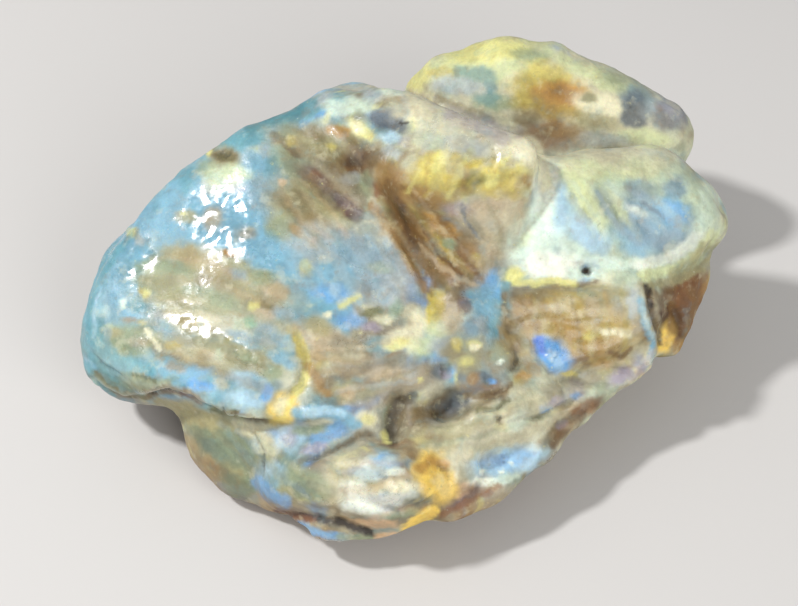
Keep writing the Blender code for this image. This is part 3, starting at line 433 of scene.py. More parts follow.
        ("orange", 0.6, 396, 540, 10, 4, -8), ("amber_glow", 1.0, 422, 520, 20, 7, -34),
        ("plum", 0.55, 452, 500, 16, 11, -32), ("honey", 0.5, 430, 508, 12, 6, -30),
    ),
    "front_ridge": (
        ("sand", 1.0, 498, 432, 86, 34, -32), ("khaki", 0.6, 440, 444, 26, 12, -14),
        ("stone", 0.6, 408, 424, 10, 9), ("khaki", 0.6, 470, 428, 26, 7, -22),
        ("cream", 0.7, 474, 397, 9, 4.5, -15), ("lemon", 0.45, 503, 427, 9, 5),
        ("mint", 0.6, 517, 421, 9, 16, 35), ("stone", 0.7, 552, 392, 12, 8),
        ("moss", 0.6, 539, 413, 12, 4, -20), ("cream", 0.5, 541, 432, 12, 10, -30),
        ("brown", 0.7, 500, 396, 8, 5, -30), ("pale_sky", 1.0, 506, 462, 40, 14, -14),
        ("azure", 0.45, 516, 460, 22, 10, -12), ("pale_sky", 0.3, 500, 461, 20, 8, -12),
        ("cobalt", 0.2, 492, 461, 16, 7, -10), ("pale_sky", 0.7, 530, 464, 12, 6, -25),
        ("chalk", 0.8, 512, 464, 4, 3), ("chalk", 0.8, 480, 482, 14, 5, -8),
        ("mint", 0.6, 506, 479, 18, 5, -22), ("chalk", 0.95, 502, 472, 3, 3),
        ("chalk", 0.9, 482, 471, 2.5, 3), ("plum", 0.7, 466, 496, 20, 8, -30),
        ("peach", 0.5, 462, 490, 12, 6, -30), ("umber", 0.6, 552, 438, 14, 9, -30),
        ("brown", 0.6, 570, 422, 28, 8, -32), ("rust", 0.7, 586, 407, 18, 6, -26),
        ("lilac", 0.7, 556, 402, 9, 5, -20), ("azure", 0.6, 546, 409, 6, 3.5, -20),
        ("azure", 0.6, 576, 395, 6, 4, -20), ("peach", 0.5, 592, 412, 6, 4, -20),
        ("lilac", 0.6, 562, 424, 7, 4, -30),
    ),
}

# Each fan is a set of streaks side by side: its pigments in turn, how strongly they cover, their
# half width, how many there are, and the first and last streak's paths in view pixels.
FANS = {
    "crown_valley": (
        ("honey", "brown", "tan", "umber", "gold", "umber"), 0.55, 2.6, 15,
        ((372, 204), (390, 234), (408, 262), (428, 292)),
        ((404, 184), (436, 216), (466, 246), (486, 276)),
    ),
    "crown_face": (
        ("stone", "sand", "tan", "khaki"), 0.35, 3.0, 9,
        ((440, 206), (470, 236), (488, 268)),
        ((536, 176), (540, 206), (524, 238)),
    ),
    "yellow_band": (
        ("gold", "lemon", "honey", "yellow", "khaki"), 0.5, 3.0, 14,
        ((420, 150), (412, 176), (404, 196)),
        ((522, 158), (516, 172), (508, 186)),
    ),
    "plateau": (
        ("mist", "cream", "sand", "lilac", "pale_green"), 0.35, 4.0, 14,
        ((404, 96), (402, 124), (400, 150)),
        ((520, 130), (514, 146), (506, 158)),
    ),
    "umber_country": (
        ("umber", "khaki", "plum", "stone", "tan", "brown"), 0.22, 3.0, 13,
        ((280, 152), (316, 186), (346, 222)),
        ((330, 118), (364, 148), (386, 176)),
    ),
    "khaki_slope": (
        ("khaki", "tan", "umber", "sage", "peach"), 0.22, 3.0, 11,
        ((268, 196), (292, 228), (314, 252)),
        ((304, 176), (332, 204), (356, 232)),
    ),
    "dome_middle": (
        ("sage", "khaki", "tan", "moss", "sand", "honey"), 0.3, 3.4, 18,
        ((150, 246), (212, 254), (290, 286)),
        ((140, 344), (200, 366), (270, 384)),
    ),
    "dome_edge": (
        ("teal", "sky", "sea", "pale_sky"), 0.5, 3.2, 6,
        ((130, 232), (100, 268), (86, 310), (88, 352)),
        ((146, 244), (118, 282), (104, 318), (108, 346)),
    ),
    "dome_foot": (
        ("sea", "teal", "pale_sky", "sage"), 0.5, 3.0, 6,
        ((92, 350), (112, 368), (150, 376), (186, 378)),
        ((92, 374), (110, 388), (140, 394), (176, 386)),
    ),
    "blue_valley": (
        ("sky", "mist", "grey_blue", "pale_sky", "stone"), 0.4, 4.0, 10,
        ((300, 258), (316, 282), (340, 306)),
        ((372, 228), (388, 258), (408, 290)),
    ),
    "wall": (
        ("honey", "wall_gold", "umber", "gold", "sand", "honey", "khaki"), 0.4, 2.4, 19,
        ((512, 304), (524, 330), (534, 360)),
        ((628, 292), (638, 320), (632, 352)),
    ),
    "lobe_streaks": (
        ("grey_blue", "celery", "pale_sky", "sage", "mist"), 0.2, 2.8, 12,
        ((562, 182), (572, 208), (590, 240)),
        ((640, 186), (666, 206), (688, 230)),
    ),
    "midriff": (
        ("stone", "tan", "umber", "khaki", "mist"), 0.4, 3.0, 12,
        ((318, 342), (352, 346), (396, 340)),
        ((336, 402), (376, 400), (424, 388)),
    ),
    "front_ridge": (
        ("khaki", "sand", "stone", "cream", "sage"), 0.4, 3.0, 12,
        ((404, 416), (456, 408), (520, 386)),
        ((420, 452), (480, 452), (560, 420)),
    ),
    "lower_lobe": (
        ("cream", "lilac", "mist", "khaki", "peach"), 0.4, 3.4, 10,
        ((340, 462), (366, 458), (404, 462)),
        ((350, 520), (384, 522), (416, 504)),
    ),
    "recess": (
        ("sage_dark", "sage", "khaki", "grey_blue"), 0.4, 3.2, 11,
        ((196, 424), (224, 452), (252, 492)),
        ((262, 436), (296, 468), (330, 500)),
    ),
    "right_foot": (
        ("brown", "honey", "umber", "rust"), 0.35, 3.0, 8,
        ((662, 296), (668, 322), (666, 350)),
        ((704, 282), (702, 304), (690, 328)),
    ),
}

# Each stroke is a pigment, how strongly it covers, its half width, and its path in view pixels.
# Strokes lie over the daubs and the fans.
# Strokes in dark are painted shade in cracks, grooves, the notch, the hook, the hollow, the slit and the
# pit.
STROKES = {
    "left_dome": (
        ("sea", 0.6, 6, ((118, 246), (104, 266), (92, 290), (85, 318), (86, 346))),
        ("sea", 0.85, 6, ((97, 344), (108, 354), (126, 363), (152, 370))),
        ("teal", 0.75, 5, ((92, 354), (102, 368), (118, 379))),
        ("mint", 0.2, 11, ((104, 352), (116, 366), (134, 373))),
        ("sage", 0.5, 7, ((124, 379), (146, 385), (164, 386))),
        ("khaki", 0.35, 5, ((134, 382), (150, 386), (166, 386))),
        ("sea", 0.8, 4, ((86, 366), (96, 382), (112, 394))),
        ("umber", 0.7, 2.2, ((96, 372), (106, 384), (120, 393), (146, 398))),
        ("moss", 0.7, 2, ((132, 376), (144, 376), (156, 381))),
        ("cream", 0.8, 2.6, ((147, 330), (152, 340), (159, 348))),
        ("moss", 0.55, 6, ((96, 376), (116, 388), (146, 394))),
        ("umber", 0.9, 3.4, ((149, 397), (158, 392), (170, 391), (184, 393))),
        ("brown", 0.7, 3, ((148, 393), (159, 389), (171, 388), (185, 391), (197, 397))),
        ("dark", 0.5, 2.2, ((154, 391), (163, 389), (172, 388), (182, 390))),
        ("plum", 0.85, 2.6, ((182, 393), (192, 397), (203, 403))),
        ("moss", 0.95, 2.6, ((212, 408), (222, 413), (237, 412))),
        ("umber", 0.7, 2, ((237, 413), (255, 419), (270, 422))),
        ("khaki", 0.9, 7, ((160, 404), (184, 409), (206, 420))),
        ("teal", 0.8, 5, ((250, 128), (280, 116), (312, 103))),
        ("gold", 0.8, 5, ((292, 398), (303, 382), (308, 366), (300, 350), (296, 336))),
        ("yellow", 0.6, 4, ((298, 338), (304, 352), (308, 366))),
        ("lemon", 0.8, 4, ((294, 396), (301, 384), (306, 374))),
        ("honey", 0.7, 4, ((308, 364), (318, 380), (328, 394))), ("gold", 0.9, 14, ((281, 413), (284, 409))),
        ("amber_glow", 1.0, 12, ((281, 412), (285, 407))), ("lemon", 0.5, 9, ((281, 412), (284, 407))),
        ("cream", 0.7, 6, ((279, 408), (282, 404))),
    ),
    "crown": (
        ("honey", 0.6, 5, ((372, 208), (385, 222), (399, 243), (411, 264), (424, 288))),
        ("honey", 0.7, 10, ((384, 172), (393, 192), (402, 214), (415, 240), (430, 266))),
        ("brown", 0.6, 8, ((390, 186), (400, 210), (412, 234), (426, 258), (438, 280))),
        ("brown", 0.6, 4.5, ((397, 200), (403, 218), (411, 238), (418, 250))),
        ("dark", 0.45, 2.4, ((400, 208), (406, 226), (413, 242), (418, 252))),
        ("umber", 0.5, 7, ((418, 250), (430, 270), (442, 284))),
        ("tan", 0.55, 2.6, ((420, 244), (436, 264), (456, 276), (476, 286))),
        ("brown", 0.7, 2.2, ((424, 232), (440, 256), (462, 274))),
        ("brown", 0.6, 2, ((456, 246), (466, 262), (478, 272))),
        ("slate", 0.6, 1.8, ((462, 206), (466, 222), (478, 238))),
        ("slate", 0.7, 7, ((378, 117), (392, 122), (402, 126))),
        # The cream strokes at the plateau's lip and the crown's tip: partly pale colour, partly painted
        # light.
        ("dark", 0.85, 1.6, ((398, 123), (408, 123))), ("cream", 0.7, 9, ((519, 147), (531, 158))),
        ("cream", 0.7, 7, ((529, 143), (538, 152))), ("cream", 0.9, 6, ((540, 158), (544, 172), (545, 186))),
        ("umber", 0.5, 4.5, ((438, 99), (452, 104), (470, 110), (492, 122))),
        ("lilac", 0.45, 9, ((452, 116), (478, 124), (504, 136))),
        ("lemon", 0.7, 3, ((342, 306), (349, 301), (357, 296))),
    ),
    "middle": (
        ("umber", 0.4, 5, ((328, 384), (350, 374), (384, 361), (403, 354))),
        ("stone", 0.7, 14, ((406, 410), (414, 420))),
        ("umber", 0.7, 9, ((398, 404), (394, 416), (396, 430))),
        ("dark", 0.6, 4.5, ((414, 394), (402, 401), (394, 414), (391, 428), (392, 441))),
        ("lemon", 0.9, 3.2, ((384, 434), (387, 440))), ("umber", 0.25, 9, ((402, 410), (416, 404))),
        ("umber", 0.8, 13, ((412, 420), (430, 412), (458, 401))),
        ("slate", 0.5, 9, ((434, 415), (446, 409), (462, 399))),
        ("dark", 0.45, 5, ((436, 414), (446, 409), (459, 402), (466, 398))),
        ("slate", 0.4, 6, ((450, 407), (464, 400), (477, 393))),
        ("umber", 0.8, 5, ((416, 412), (430, 414), (440, 414))),
        ("umber", 0.85, 3.4, ((466, 396), (478, 396), (488, 394), (499, 390), (510, 385))),
        ("brown", 0.6, 3.5, ((488, 398), (498, 394), (506, 388))),
        ("sky", 0.9, 6.5, ((297, 413), (322, 410), (344, 414), (356, 424))),
        ("pale_sky", 0.8, 4.5, ((306, 412), (326, 410), (342, 413))),
        ("umber", 0.7, 3, ((338, 447), (350, 440), (360, 435), (370, 434))),
        ("umber", 0.5, 3, ((300, 462), (318, 456), (338, 448))),
        ("azure", 0.6, 6, ((258, 482), (271, 494), (285, 503))),
        ("plum", 0.95, 5, ((279, 512), (298, 517), (318, 519))),
        ("rust", 0.6, 3.5, ((288, 514), (304, 519), (320, 520))),
        ("dark", 0.95, 4, ((320, 520), (340, 523), (358, 528), (372, 534))),
        ("azure", 0.9, 4.5, ((300, 526), (318, 533), (344, 538))),
        ("pale_sky", 0.4, 4, ((306, 528), (330, 535))),
        ("sage", 0.8, 4, ((340, 537), (356, 539), (370, 539))),
        ("moss", 0.7, 2.5, ((478, 410), (498, 407), (508, 399))),
        ("brown", 0.5, 4, ((552, 444), (562, 432), (578, 420), (596, 408))),
        ("rust", 0.7, 3, ((440, 516), (456, 508), (478, 497), (500, 486))),
        ("umber", 0.7, 2.5, ((498, 417), (500, 422))),
        ("amber_glow", 1.0, 14, ((430, 466), (437, 480), (441, 488))),
        ("orange", 0.9, 6, ((421, 468), (430, 461), (444, 466))),
        ("orange", 0.3, 3, ((428, 472), (437, 476), (446, 474))),
        ("cream", 0.25, 7, ((439, 480), (444, 490))),
        ("amber_glow", 1.0, 6, ((406, 530), (420, 522), (434, 511))),
    ),
    "wall_rim_and_foot": (
        ("umber", 0.85, 4, ((504, 294), (505, 306), (507, 314))),
        ("umber", 0.7, 2, ((574, 284), (586, 283), (597, 282))),
        ("lemon", 0.85, 3.6, ((516, 283), (536, 283), (556, 281), (574, 283))),
        ("azure", 0.95, 11, ((546, 349), (556, 360))), ("cobalt", 0.8, 5, ((540, 342), (542, 352))),
        ("pale_sky", 0.5, 5, ((553, 356), (559, 366))),
        ("sky", 0.95, 4.5, ((641, 300), (646, 322), (653, 342), (651, 358))),
        ("lilac", 0.6, 3.5, ((652, 352), (644, 368), (632, 378))),
        ("dark", 0.95, 4.5, ((648, 286), (650, 298), (653, 314))),
        ("umber", 0.9, 3, ((653, 310), (656, 326), (660, 344))),
        ("chalk", 0.7, 6, ((636, 266), (664, 260), (688, 247), (698, 236))),
        ("celery", 0.9, 6, ((646, 275), (672, 271), (697, 258), (712, 236))),
        ("khaki", 0.8, 4, ((652, 284), (680, 280), (702, 268), (718, 244))),
        ("khaki", 0.7, 5, ((672, 276), (690, 263), (707, 246))),
        ("moss", 0.25, 6, ((676, 278), (694, 266), (711, 248))), ("mint", 0.9, 6, ((574, 274), (600, 273))),
        ("dark", 1.0, 3.4, ((586, 271), (588, 272))),
        ("slate", 0.6, 2.6, ((642, 203), (652, 209), (664, 217))),
        ("grey_blue", 0.6, 2.6, ((598, 192), (608, 212), (624, 232), (640, 244))),
        ("grey_blue", 0.5, 2.6, ((570, 192), (578, 206), (590, 222))),
        ("teal", 0.6, 6, ((458, 71), (474, 72), (488, 75), (491, 88))),
        ("brown", 0.7, 3, ((610, 352), (622, 356), (630, 350))),
    ),
}

# The ground under the daubs, all round the lump: each layer is a pigment, how strongly it covers,
# the size of its patches in mm, how much skin it leaves free (from -1, none, to 1, all) and how
# soft its edges are.
GROUND_PIGMENT = "sand"
GROUND_LAYERS = (
    ("pale_green", 0.8, 16.0, -0.1, 0.4),
    ("sky", 0.95, 20.0, 0.0, 0.3),
    ("khaki", 0.85, 13.0, 0.1, 0.3),
    ("sea", 0.8, 10.0, 0.2, 0.25),
    ("umber", 0.75, 11.0, 0.22, 0.25),
    ("tan", 0.7, 7.0, 0.25, 0.25),
    ("honey", 0.7, 6.0, 0.3, 0.25),
    ("sage", 0.6, 5.0, 0.35, 0.2),
    ("cream", 0.6, 4.5, 0.4, 0.25),
    ("brown", 0.6, 4.0, 0.45, 0.2),
    ("azure", 0.6, 4.0, 0.45, 0.2),
    ("lemon", 0.6, 2.6, 0.55, 0.15),
    ("plum", 0.4, 3.2, 0.55, 0.2),
)
# The patches' borders wander by so many mm over so long a way, and the patches are drawn out so
# many times along a slant.
GROUND_WANDER = 2.6
GROUND_WANDER_SIZE = 5.0
GROUND_SLANT = (0.62, 0.35, 0.70)
GROUND_DRAWN_OUT = 1.8
# The skirt round the foot, darker and browner towards the bottom: its pigments, how strongly each
# covers, and between what heights in mm it comes in. Its border goes up and down by so many mm.
SKIRT_LAYERS = (
    ("honey", 0.55, 11.0, 4.0),
    ("rust", 0.4, 6.0, 1.5),
)
SKIRT_WANDER = 2.0

# Daubs and strokes fade out between these distances from their middle, in half widths, and
# nothing is left of them at their reach.
DAUB_EDGE = (0.55, 1.35)
DAUB_REACH = 1.8
STROKE_EDGE = (0.5, 1.5)
STROKE_REACH = 2.0
# Their borders wander by so many pixels over so many mm, and are frayed by this share of their
# half width, in tatters of so many mm.
STAIN_WANDER = 2.5
STAIN_WANDER_SIZE = 0.9
FRAY = 0.26
FRAY_SIZE = 1.8
# How far a fan's streaks wave, in half widths, and how fast the wave runs on, across and down,
# from streak to streak and from point to point. How far and how fast their cover and width vary.
FAN_WAVE = 1.6
FAN_WAVE_STEPS = ((2.4, 1.3), (1.7, 2.0))
FAN_COVER_SWING, FAN_COVER_STEP = 0.3, 3.1
FAN_WIDTH_SWING, FAN_WIDTH_STEP = 0.35, 5.3
# A point is seen when nothing is nearer to the eye by so many mm. The border of what is seen is
# evened out in so many rounds, and what is seen less than the least gets no stain.
SEEN_SLACK = 0.3
SEEN_ROUNDS = 3
SEEN_LEAST = 0.01

# Each noise is drawn from a place of its own, so that no two are alike. All have the same fractal
# dimension and lacunarity.
NOISE_SHIFT = (3.7, 1.3, -2.9)
NOISE_FRACTAL = (1.0, 2.0)
RIPPLE_NOISE = 1.0
FINE_RIPPLE_NOISE = 2.0
GROUND_WANDER_NOISES = (5.0, 6.0, 7.0)
FIRST_GROUND_NOISE = 10.0
STAIN_WANDER_NOISES = (41.0, 42.0)
FRAY_NOISE = 43.0
GLOSS_NOISE = 51.0

# Cracks are pressed in between these depths in mm. Pits and crests lie below and above the skin
# as it is after so many rounds of evening out, by so many times the relief in mm.
CRACK_RANGE = (0.5, 1.5)
RELIEF = 0.09
RELIEF_ROUNDS = 10
PIT_RANGE = (0.4, 1.6)
CREST_RANGE = (0.5, 1.8)
# How much painted shade the pits get beside the cracks, and how strongly it and the pale crests cover.
PIT_SHADE = 0.8
SHADE_COVER = 0.8
CREST_COVER = 0.25

# How glossy the skin is in some places, from 0 to 1: each place, its two half widths and its turn
# in view pixels.
GLOSSES = {
    "dome_top": (1.0, 222, 220, 42, 31, 20),
    "dome_left": (1.0, 132, 254, 22, 25, -40),
    "dome_low": (0.95, 214, 340, 50, 12, 30),
    "valley": (0.9, 320, 285, 60, 40, 20),
    "crown_lip": (0.9, 480, 130, 70, 30, 18),
    "crown_face": (0.35, 470, 225, 60, 50, 20),
    "right_lobe": (0.5, 640, 210, 90, 62, 8),
    "right_foot": (0.15, 684, 312, 30, 46, 20),
    "wall": (0.6, 575, 330, 70, 46, 5),
    "back_lobe": (0.1, 550, 95, 150, 62, 14),
    "lower_lobe": (0.6, 385, 490, 50, 30, -10),
    "notch": (0.15, 388, 118, 26, 18, 15),
    "lower_rim": (0.2, 330, 522, 60, 14, 12),
    "hook": (0.25, 430, 410, 60, 18, -20),
}
# Elsewhere it has this gloss, more or less in patches of so many mm, more on the crests, and it
# loses some in the pits and cracks.
GLOSS_LEVEL = 0.3
GLOSS_SWING = 0.4
GLOSS_PATCH_SIZE = 4.5
CREST_GLOSS = 0.25
PIT_DULLNESS = 0.6


# ---------------- the material's numbers

# The stains are darker and lighter in clouds and in a grain: the size of the patches in mm and
# their detail, the noise's range, and the shades that it becomes.
SHADES = (
    (2.0, 4.0, 0.3, 0.7, 0.84, 1.12),
    (0.5, 2.0, 0.25, 0.75, 0.95, 1.04),
)
# Each mottle is a pigment, the size of its patches in mm, how much skin it leaves free and how
# strongly it covers.
MOTTLES = (
    ("cream", 1.6, 0.56, 0.24),
    ("sea", 1.9, 0.56, 0.16),
    ("honey", 1.5, 0.56, 0.2),
    ("umber", 1.0, 0.6, 0.3),
    ("lemon", 0.7, 0.66, 0.45),
    ("sage_dark", 0.6, 0.64, 0.35),
    ("chalk", 0.5, 0.68, 0.4),
)
MOTTLE_DETAIL = 3.0
MOTTLE_EDGE = 0.16
# The skin's fine noises: the size of their patches in mm and their detail.
SPECKS = (0.5, 2.0)
LUMPS = (1.4, 0.5)
GRIT = (0.3, 2.0)
NOISE_ROUGHNESS = 0.55
# What the specks add to the roughness, and how rough the skin is, how strong its coat and how high
# its grit: each has the range of the noise or gloss that it follows, and its own range.
SPECK_RANGE = (0.35, 0.65, -0.05, 0.05)
ROUGHNESS_RANGE = (0.0, 1.0, 0.62, 0.14)
COAT_RANGE = (0.3, 1.0, 0.0, 0.35)
GRIT_RANGE = (0.2, 0.9, 0.55, 0.02)
BUMP_VALUES = {"Strength": 0.6, "Distance": 0.16 * MM}
# Amber's own values. The body is cloudy, so light spreads in it and comes out near by.
AMBER_VALUES = {
    "IOR": 1.54,
    "Coat IOR": 1.54,
    "Coat Roughness": 0.06,
    "Subsurface Weight": 0.4,
    "Subsurface Radius": (1.0, 0.7, 0.45),
    "Subsurface Scale": 1.0 * MM,
}


# ---------------- the stage's numbers

# The main light is above on the left, and a soft one in front on the right lifts the shade. Both
# are so many mm from the middle of the view.
KEY_DIRECTION = (-0.60, -0.03, 0.80)
FILL_DIRECTION = (0.48, -0.74, 0.45)
LIGHT_DISTANCE = 380.0
# The floor is so many metres wide.
FLOOR_WIDTH = 2.0
FLOOR_ROUGHNESS = 0.9


# ---------------- what a user may change


def pigment(name, use, colour):
    """Declares one pigment of the stains, as a screen colour."""
    return bpy.props.FloatVectorProperty(
        name=name, description=use, default=colour, min=0.0, max=1.0, size=3, subtype="COLOR_GAMMA"
    )


def length(name, use, millimetres, least, most):
    """Declares a length; it is given in mm and kept in metres."""
    return bpy.props.FloatProperty(
        name=name,
        description=use,
        default=millimetres * MM,
        min=least * MM,
        max=most * MM,
        precision=5,
        unit="LENGTH",
    )


def share(name, use, default):
    """Declares a share of the whole, from 0 to 1."""
    return bpy.props.FloatProperty(
        name=name, description=use, default=default, min=0.0, max=1.0, subtype="FACTOR"
    )


def strength(name, use, default, most, unit="NONE"):
    """Declares how strong a light is."""
    return bpy.props.FloatProperty(
        name=name, description=use, default=default, min=0.0, max=most, unit=unit
    )


class AmberPigments(bpy.types.PropertyGroup):
    """The pigments that stain the skin."""

    sky: pigment("Sky", "The worn dome's blue", (0.50, 0.69, 0.77))
    azure: pigment("Azure", "The brightest blue", (0.42, 0.67, 0.89))
    pale_sky: pigment("Pale sky", "Blue that is nearly white", (0.70, 0.83, 0.89))
    sea: pigment("Sea", "Blue with green in it", (0.41, 0.65, 0.70))
    teal: pigment("Teal", "Darker green-blue at the edges", (0.33, 0.56, 0.60))
    grey_blue: pigment("Grey blue", "Dull blue", (0.52, 0.62, 0.66))
    cobalt: pigment("Cobalt", "Violet blue", (0.42, 0.54, 0.86))
    slate: pigment("Slate", "Dark grey blue", (0.38, 0.43, 0.47))
    mist: pigment("Mist", "Pale blue grey", (0.70, 0.74, 0.74))
    mint: pigment("Mint", "Pale green white", (0.88, 0.95, 0.88))
    jade: pigment("Jade", "Clear green", (0.52, 0.70, 0.58))
    pale_green: pigment("Pale green", "The right lobe's green", (0.78, 0.84, 0.73))
    celery: pigment("Celery", "Pale yellow green", (0.83, 0.86, 0.66))
    sage: pigment("Sage", "Grey green", (0.59, 0.64, 0.51))
    sage_dark: pigment("Dark sage", "Grey green in the shade", (0.47, 0.52, 0.42))
    moss: pigment("Moss", "Dark olive", (0.42, 0.42, 0.26))
    khaki: pigment("Khaki", "Yellow olive", (0.66, 0.63, 0.46))
    sand: pigment("Sand", "The plateau's pale olive cream", (0.80, 0.78, 0.66))
    cream: pigment("Cream", "Pale yellow white", (0.94, 0.92, 0.78))
    chalk: pigment("Chalk", "Nearly white", (0.95, 0.97, 0.90))
    lemon: pigment("Lemon", "Pale yellow", (0.90, 0.88, 0.56))
    yellow: pigment("Yellow", "Clear yellow", (0.86, 0.80, 0.42))
    gold: pigment("Gold", "The crown's yellow band", (0.75, 0.68, 0.34))
    wall_gold: pigment("Wall gold", "Tan gold of the wall", (0.72, 0.62, 0.40))
    honey: pigment("Honey", "Golden brown", (0.62, 0.48, 0.26))
    amber_glow: pigment("Amber glow", "Amber with light in it", (1.0, 0.85, 0.40))
    orange: pigment("Orange", "Orange brown", (0.74, 0.57, 0.28))
    peach: pigment("Peach", "Pale orange pink", (0.87, 0.72, 0.55))
    tan: pigment("Tan", "Pale pinkish brown", (0.75, 0.68, 0.55))
    stone: pigment("Stone", "Warm grey", (0.60, 0.57, 0.48))
    lilac: pigment("Lilac", "Grey violet", (0.64, 0.60, 0.66))
    plum: pigment("Plum", "Purple brown", (0.42, 0.32, 0.30))
    umber: pigment("Umber", "Olive brown", (0.46, 0.39, 0.25))
    brown: pigment("Brown", "Dark brown", (0.42, 0.29, 0.14))
    rust: pigment("Rust", "Red brown", (0.53, 0.34, 0.17))
    # Dark is painted shade: in the cracks and pits, and where daubs and strokes lay it in gaps and hollows.
    dark: pigment("Dark", "Dirt in the cracks", (0.17, 0.13, 0.09))


class AmberSettings(bpy.types.PropertyGroup):
    """The lump's skin."""

    skin_step: length("Skin step", "How far apart the skin's points are", 0.28, 0.2, 1.0)
    skin_smoothing: bpy.props.IntProperty(
        name="Skin smoothing",
        description="How often the solid's flat faces are smoothed away",
        default=7,
        min=0,
        max=30,
    )
    ripple_height: length("Ripple height", "How high the skin's low ripples stand", 0.09, 0.0, 0.5)
    ripple_size: length("Ripple size", "How far apart the ripples are", 2.2, 0.5, 10.0)
    stain_strength: share("Stain strength", "How much of each stain's cover is laid", 1.0)
    # The painted shade in the cracks and pits: how dark it is laid.
    crack_shade: share("Dirt in cracks", "How dark the skin's hollows are", 0.5)
    see_through: share("See-through", "How much light passes straight through the amber", 0.12)


class StageSettings(bpy.types.PropertyGroup):
    """The floor and the light."""

    floor_colour: pigment("Floor", "The floor's colour", (0.80, 0.79, 0.78))
    key_power: strength("Key light", "Power of the main light", 1.16, 20.0, "POWER")
    key_size: length("Key size", "Width of the main light", 36.0, 10.0, 500.0)
    fill_power: strength("Fill light", "Power of the light on the shaded side", 0.85, 20.0, "POWER")
    fill_size: length("Fill size", "Width of the soft light", 300.0, 10.0, 1000.0)
    room_light: strength("Room light", "Strength of the light from all round", 0.40, 5.0)


# ---------------- the main view


class View:
    """The main camera as numbers: where its eye is, and which pixel a point falls on."""

    def __init__(self):
        elevation = math.radians(VIEW_ELEVATION)
        self.back = Vector((0.0, -math.cos(elevation), math.sin(elevation)))
        self.eye = Vector(VIEW_CENTRE) * MM + self.back * VIEW_DISTANCE * MM
        self.right = Vector((0.0, 0.0, 1.0)).cross(self.back).normalized()
        self.up = self.back.cross(self.right)
        self.focus = VIEW_LENS / VIEW_SENSOR * VIEW_SIZE[0]

    def ray(self, pixel):
        """Gives the direction in which the eye sees a pixel."""
        across = (pixel[0] - VIEW_SIZE[0] / 2) / self.focus
        down = (pixel[1] - VIEW_SIZE[1] / 2) / self.focus
        return (self.right * across - self.up * down - self.back).normalized()

    def pixels(self, points):
        """Gives the pixel that each point falls on."""
        offsets = points - np.array(self.eye)
        depth = -offsets @ np.array(self.back)
        across = offsets @ np.array(self.right) / depth * self.focus
        down = -offsets @ np.array(self.up) / depth * self.focus
        return np.stack((VIEW_SIZE[0] / 2 + across, VIEW_SIZE[1] / 2 + down), axis=1)

    def facing(self, mesh):
        """Gives for each point of the mesh whether the skin faces the eye there."""
        to_eye = np.array(self.eye) - mesh_points(mesh)
        return (to_eye * mesh_normals(mesh)).sum(axis=1) > 0.0

    def sees(self, mesh):
        """Gives 1 for each point of the mesh that the eye sees, and 0 for the others."""
        points = mesh_points(mesh)
        tree = face_tree(mesh)
        seen = np.zeros(len(points))
        for index in np.flatnonzero(self.facing(mesh)):
            line = Vector(points[index]) - self.eye
            hit = tree.ray_cast(self.eye, line.normalized(), line.length - SEEN_SLACK * MM)
            seen[index] = 1.0 if hit[0] is None else 0.0
        return seen


# ---------------- meshes as arrays


def as_rows(items, name, width, kind=float):
    """Gives a value of all the items as an array with a row for each item."""
    values = np.empty(len(items) * width, dtype=kind)
    items.foreach_get(name, values)
    return values.reshape(-1, width)


def mesh_points(mesh):
    """Gives the mesh's points."""
    return as_rows(mesh.vertices, "co", 3)


def mesh_normals(mesh):
    """Gives the mesh's point normals."""
    return as_rows(mesh.vertex_normals, "vector", 3)


def mesh_edges(mesh):
    """Gives the mesh's edges as pairs of points."""
    return as_rows(mesh.edges, "vertices", 2, np.int32)


def face_tree(mesh):
    """Gives the mesh's faces as a tree that rays can be cast at."""
    points = [Vector(point) for point in mesh_points(mesh)]
    return BVHTree.FromPolygons(points, [list(face.vertices) for face in mesh.polygons])


def move_points(mesh, points):
    """Puts the mesh's points where the array says."""
    mesh.vertices.foreach_set("co", points.ravel())
    mesh.update()


def spread(values, edges, rounds):
    """Evens a value out between neighbours, once for each round."""
    neighbours = np.bincount(edges.ravel(), minlength=len(values))
    for _ in range(rounds):
        there = np.bincount(edges[:, 0], values[edges[:, 1]], len(values))
        back = np.bincount(edges[:, 1], values[edges[:, 0]], len(values))
        values = 0.5 * values + 0.5 * (there + back) / neighbours
    return values


def noise_field(points, size, offset, octaves=3):
    """Gives smooth noise from about -1 to 1 at each point, with patches about as wide as size."""
    shift = Vector([offset * part for part in NOISE_SHIFT])
    scaled = points / size
    return np.array([noise.fractal(Vector(p) + shift, *NOISE_FRACTAL, octaves) for p in scaled])


def wander_field(points, size, offsets):
    """Gives coarse noises side by side at each point, one for each offset."""
    return np.stack([noise_field(points, size, offset, 2) for offset in offsets], axis=1)


def step_up(values, low, high):
    """Goes smoothly from 0 to 1 while the value goes from low to high."""
    share_of_way = np.clip((values - low) / (high - low), 0.0, 1.0)
    return share_of_way * share_of_way * (3.0 - 2.0 * share_of_way)


# ---------------- the skin's form


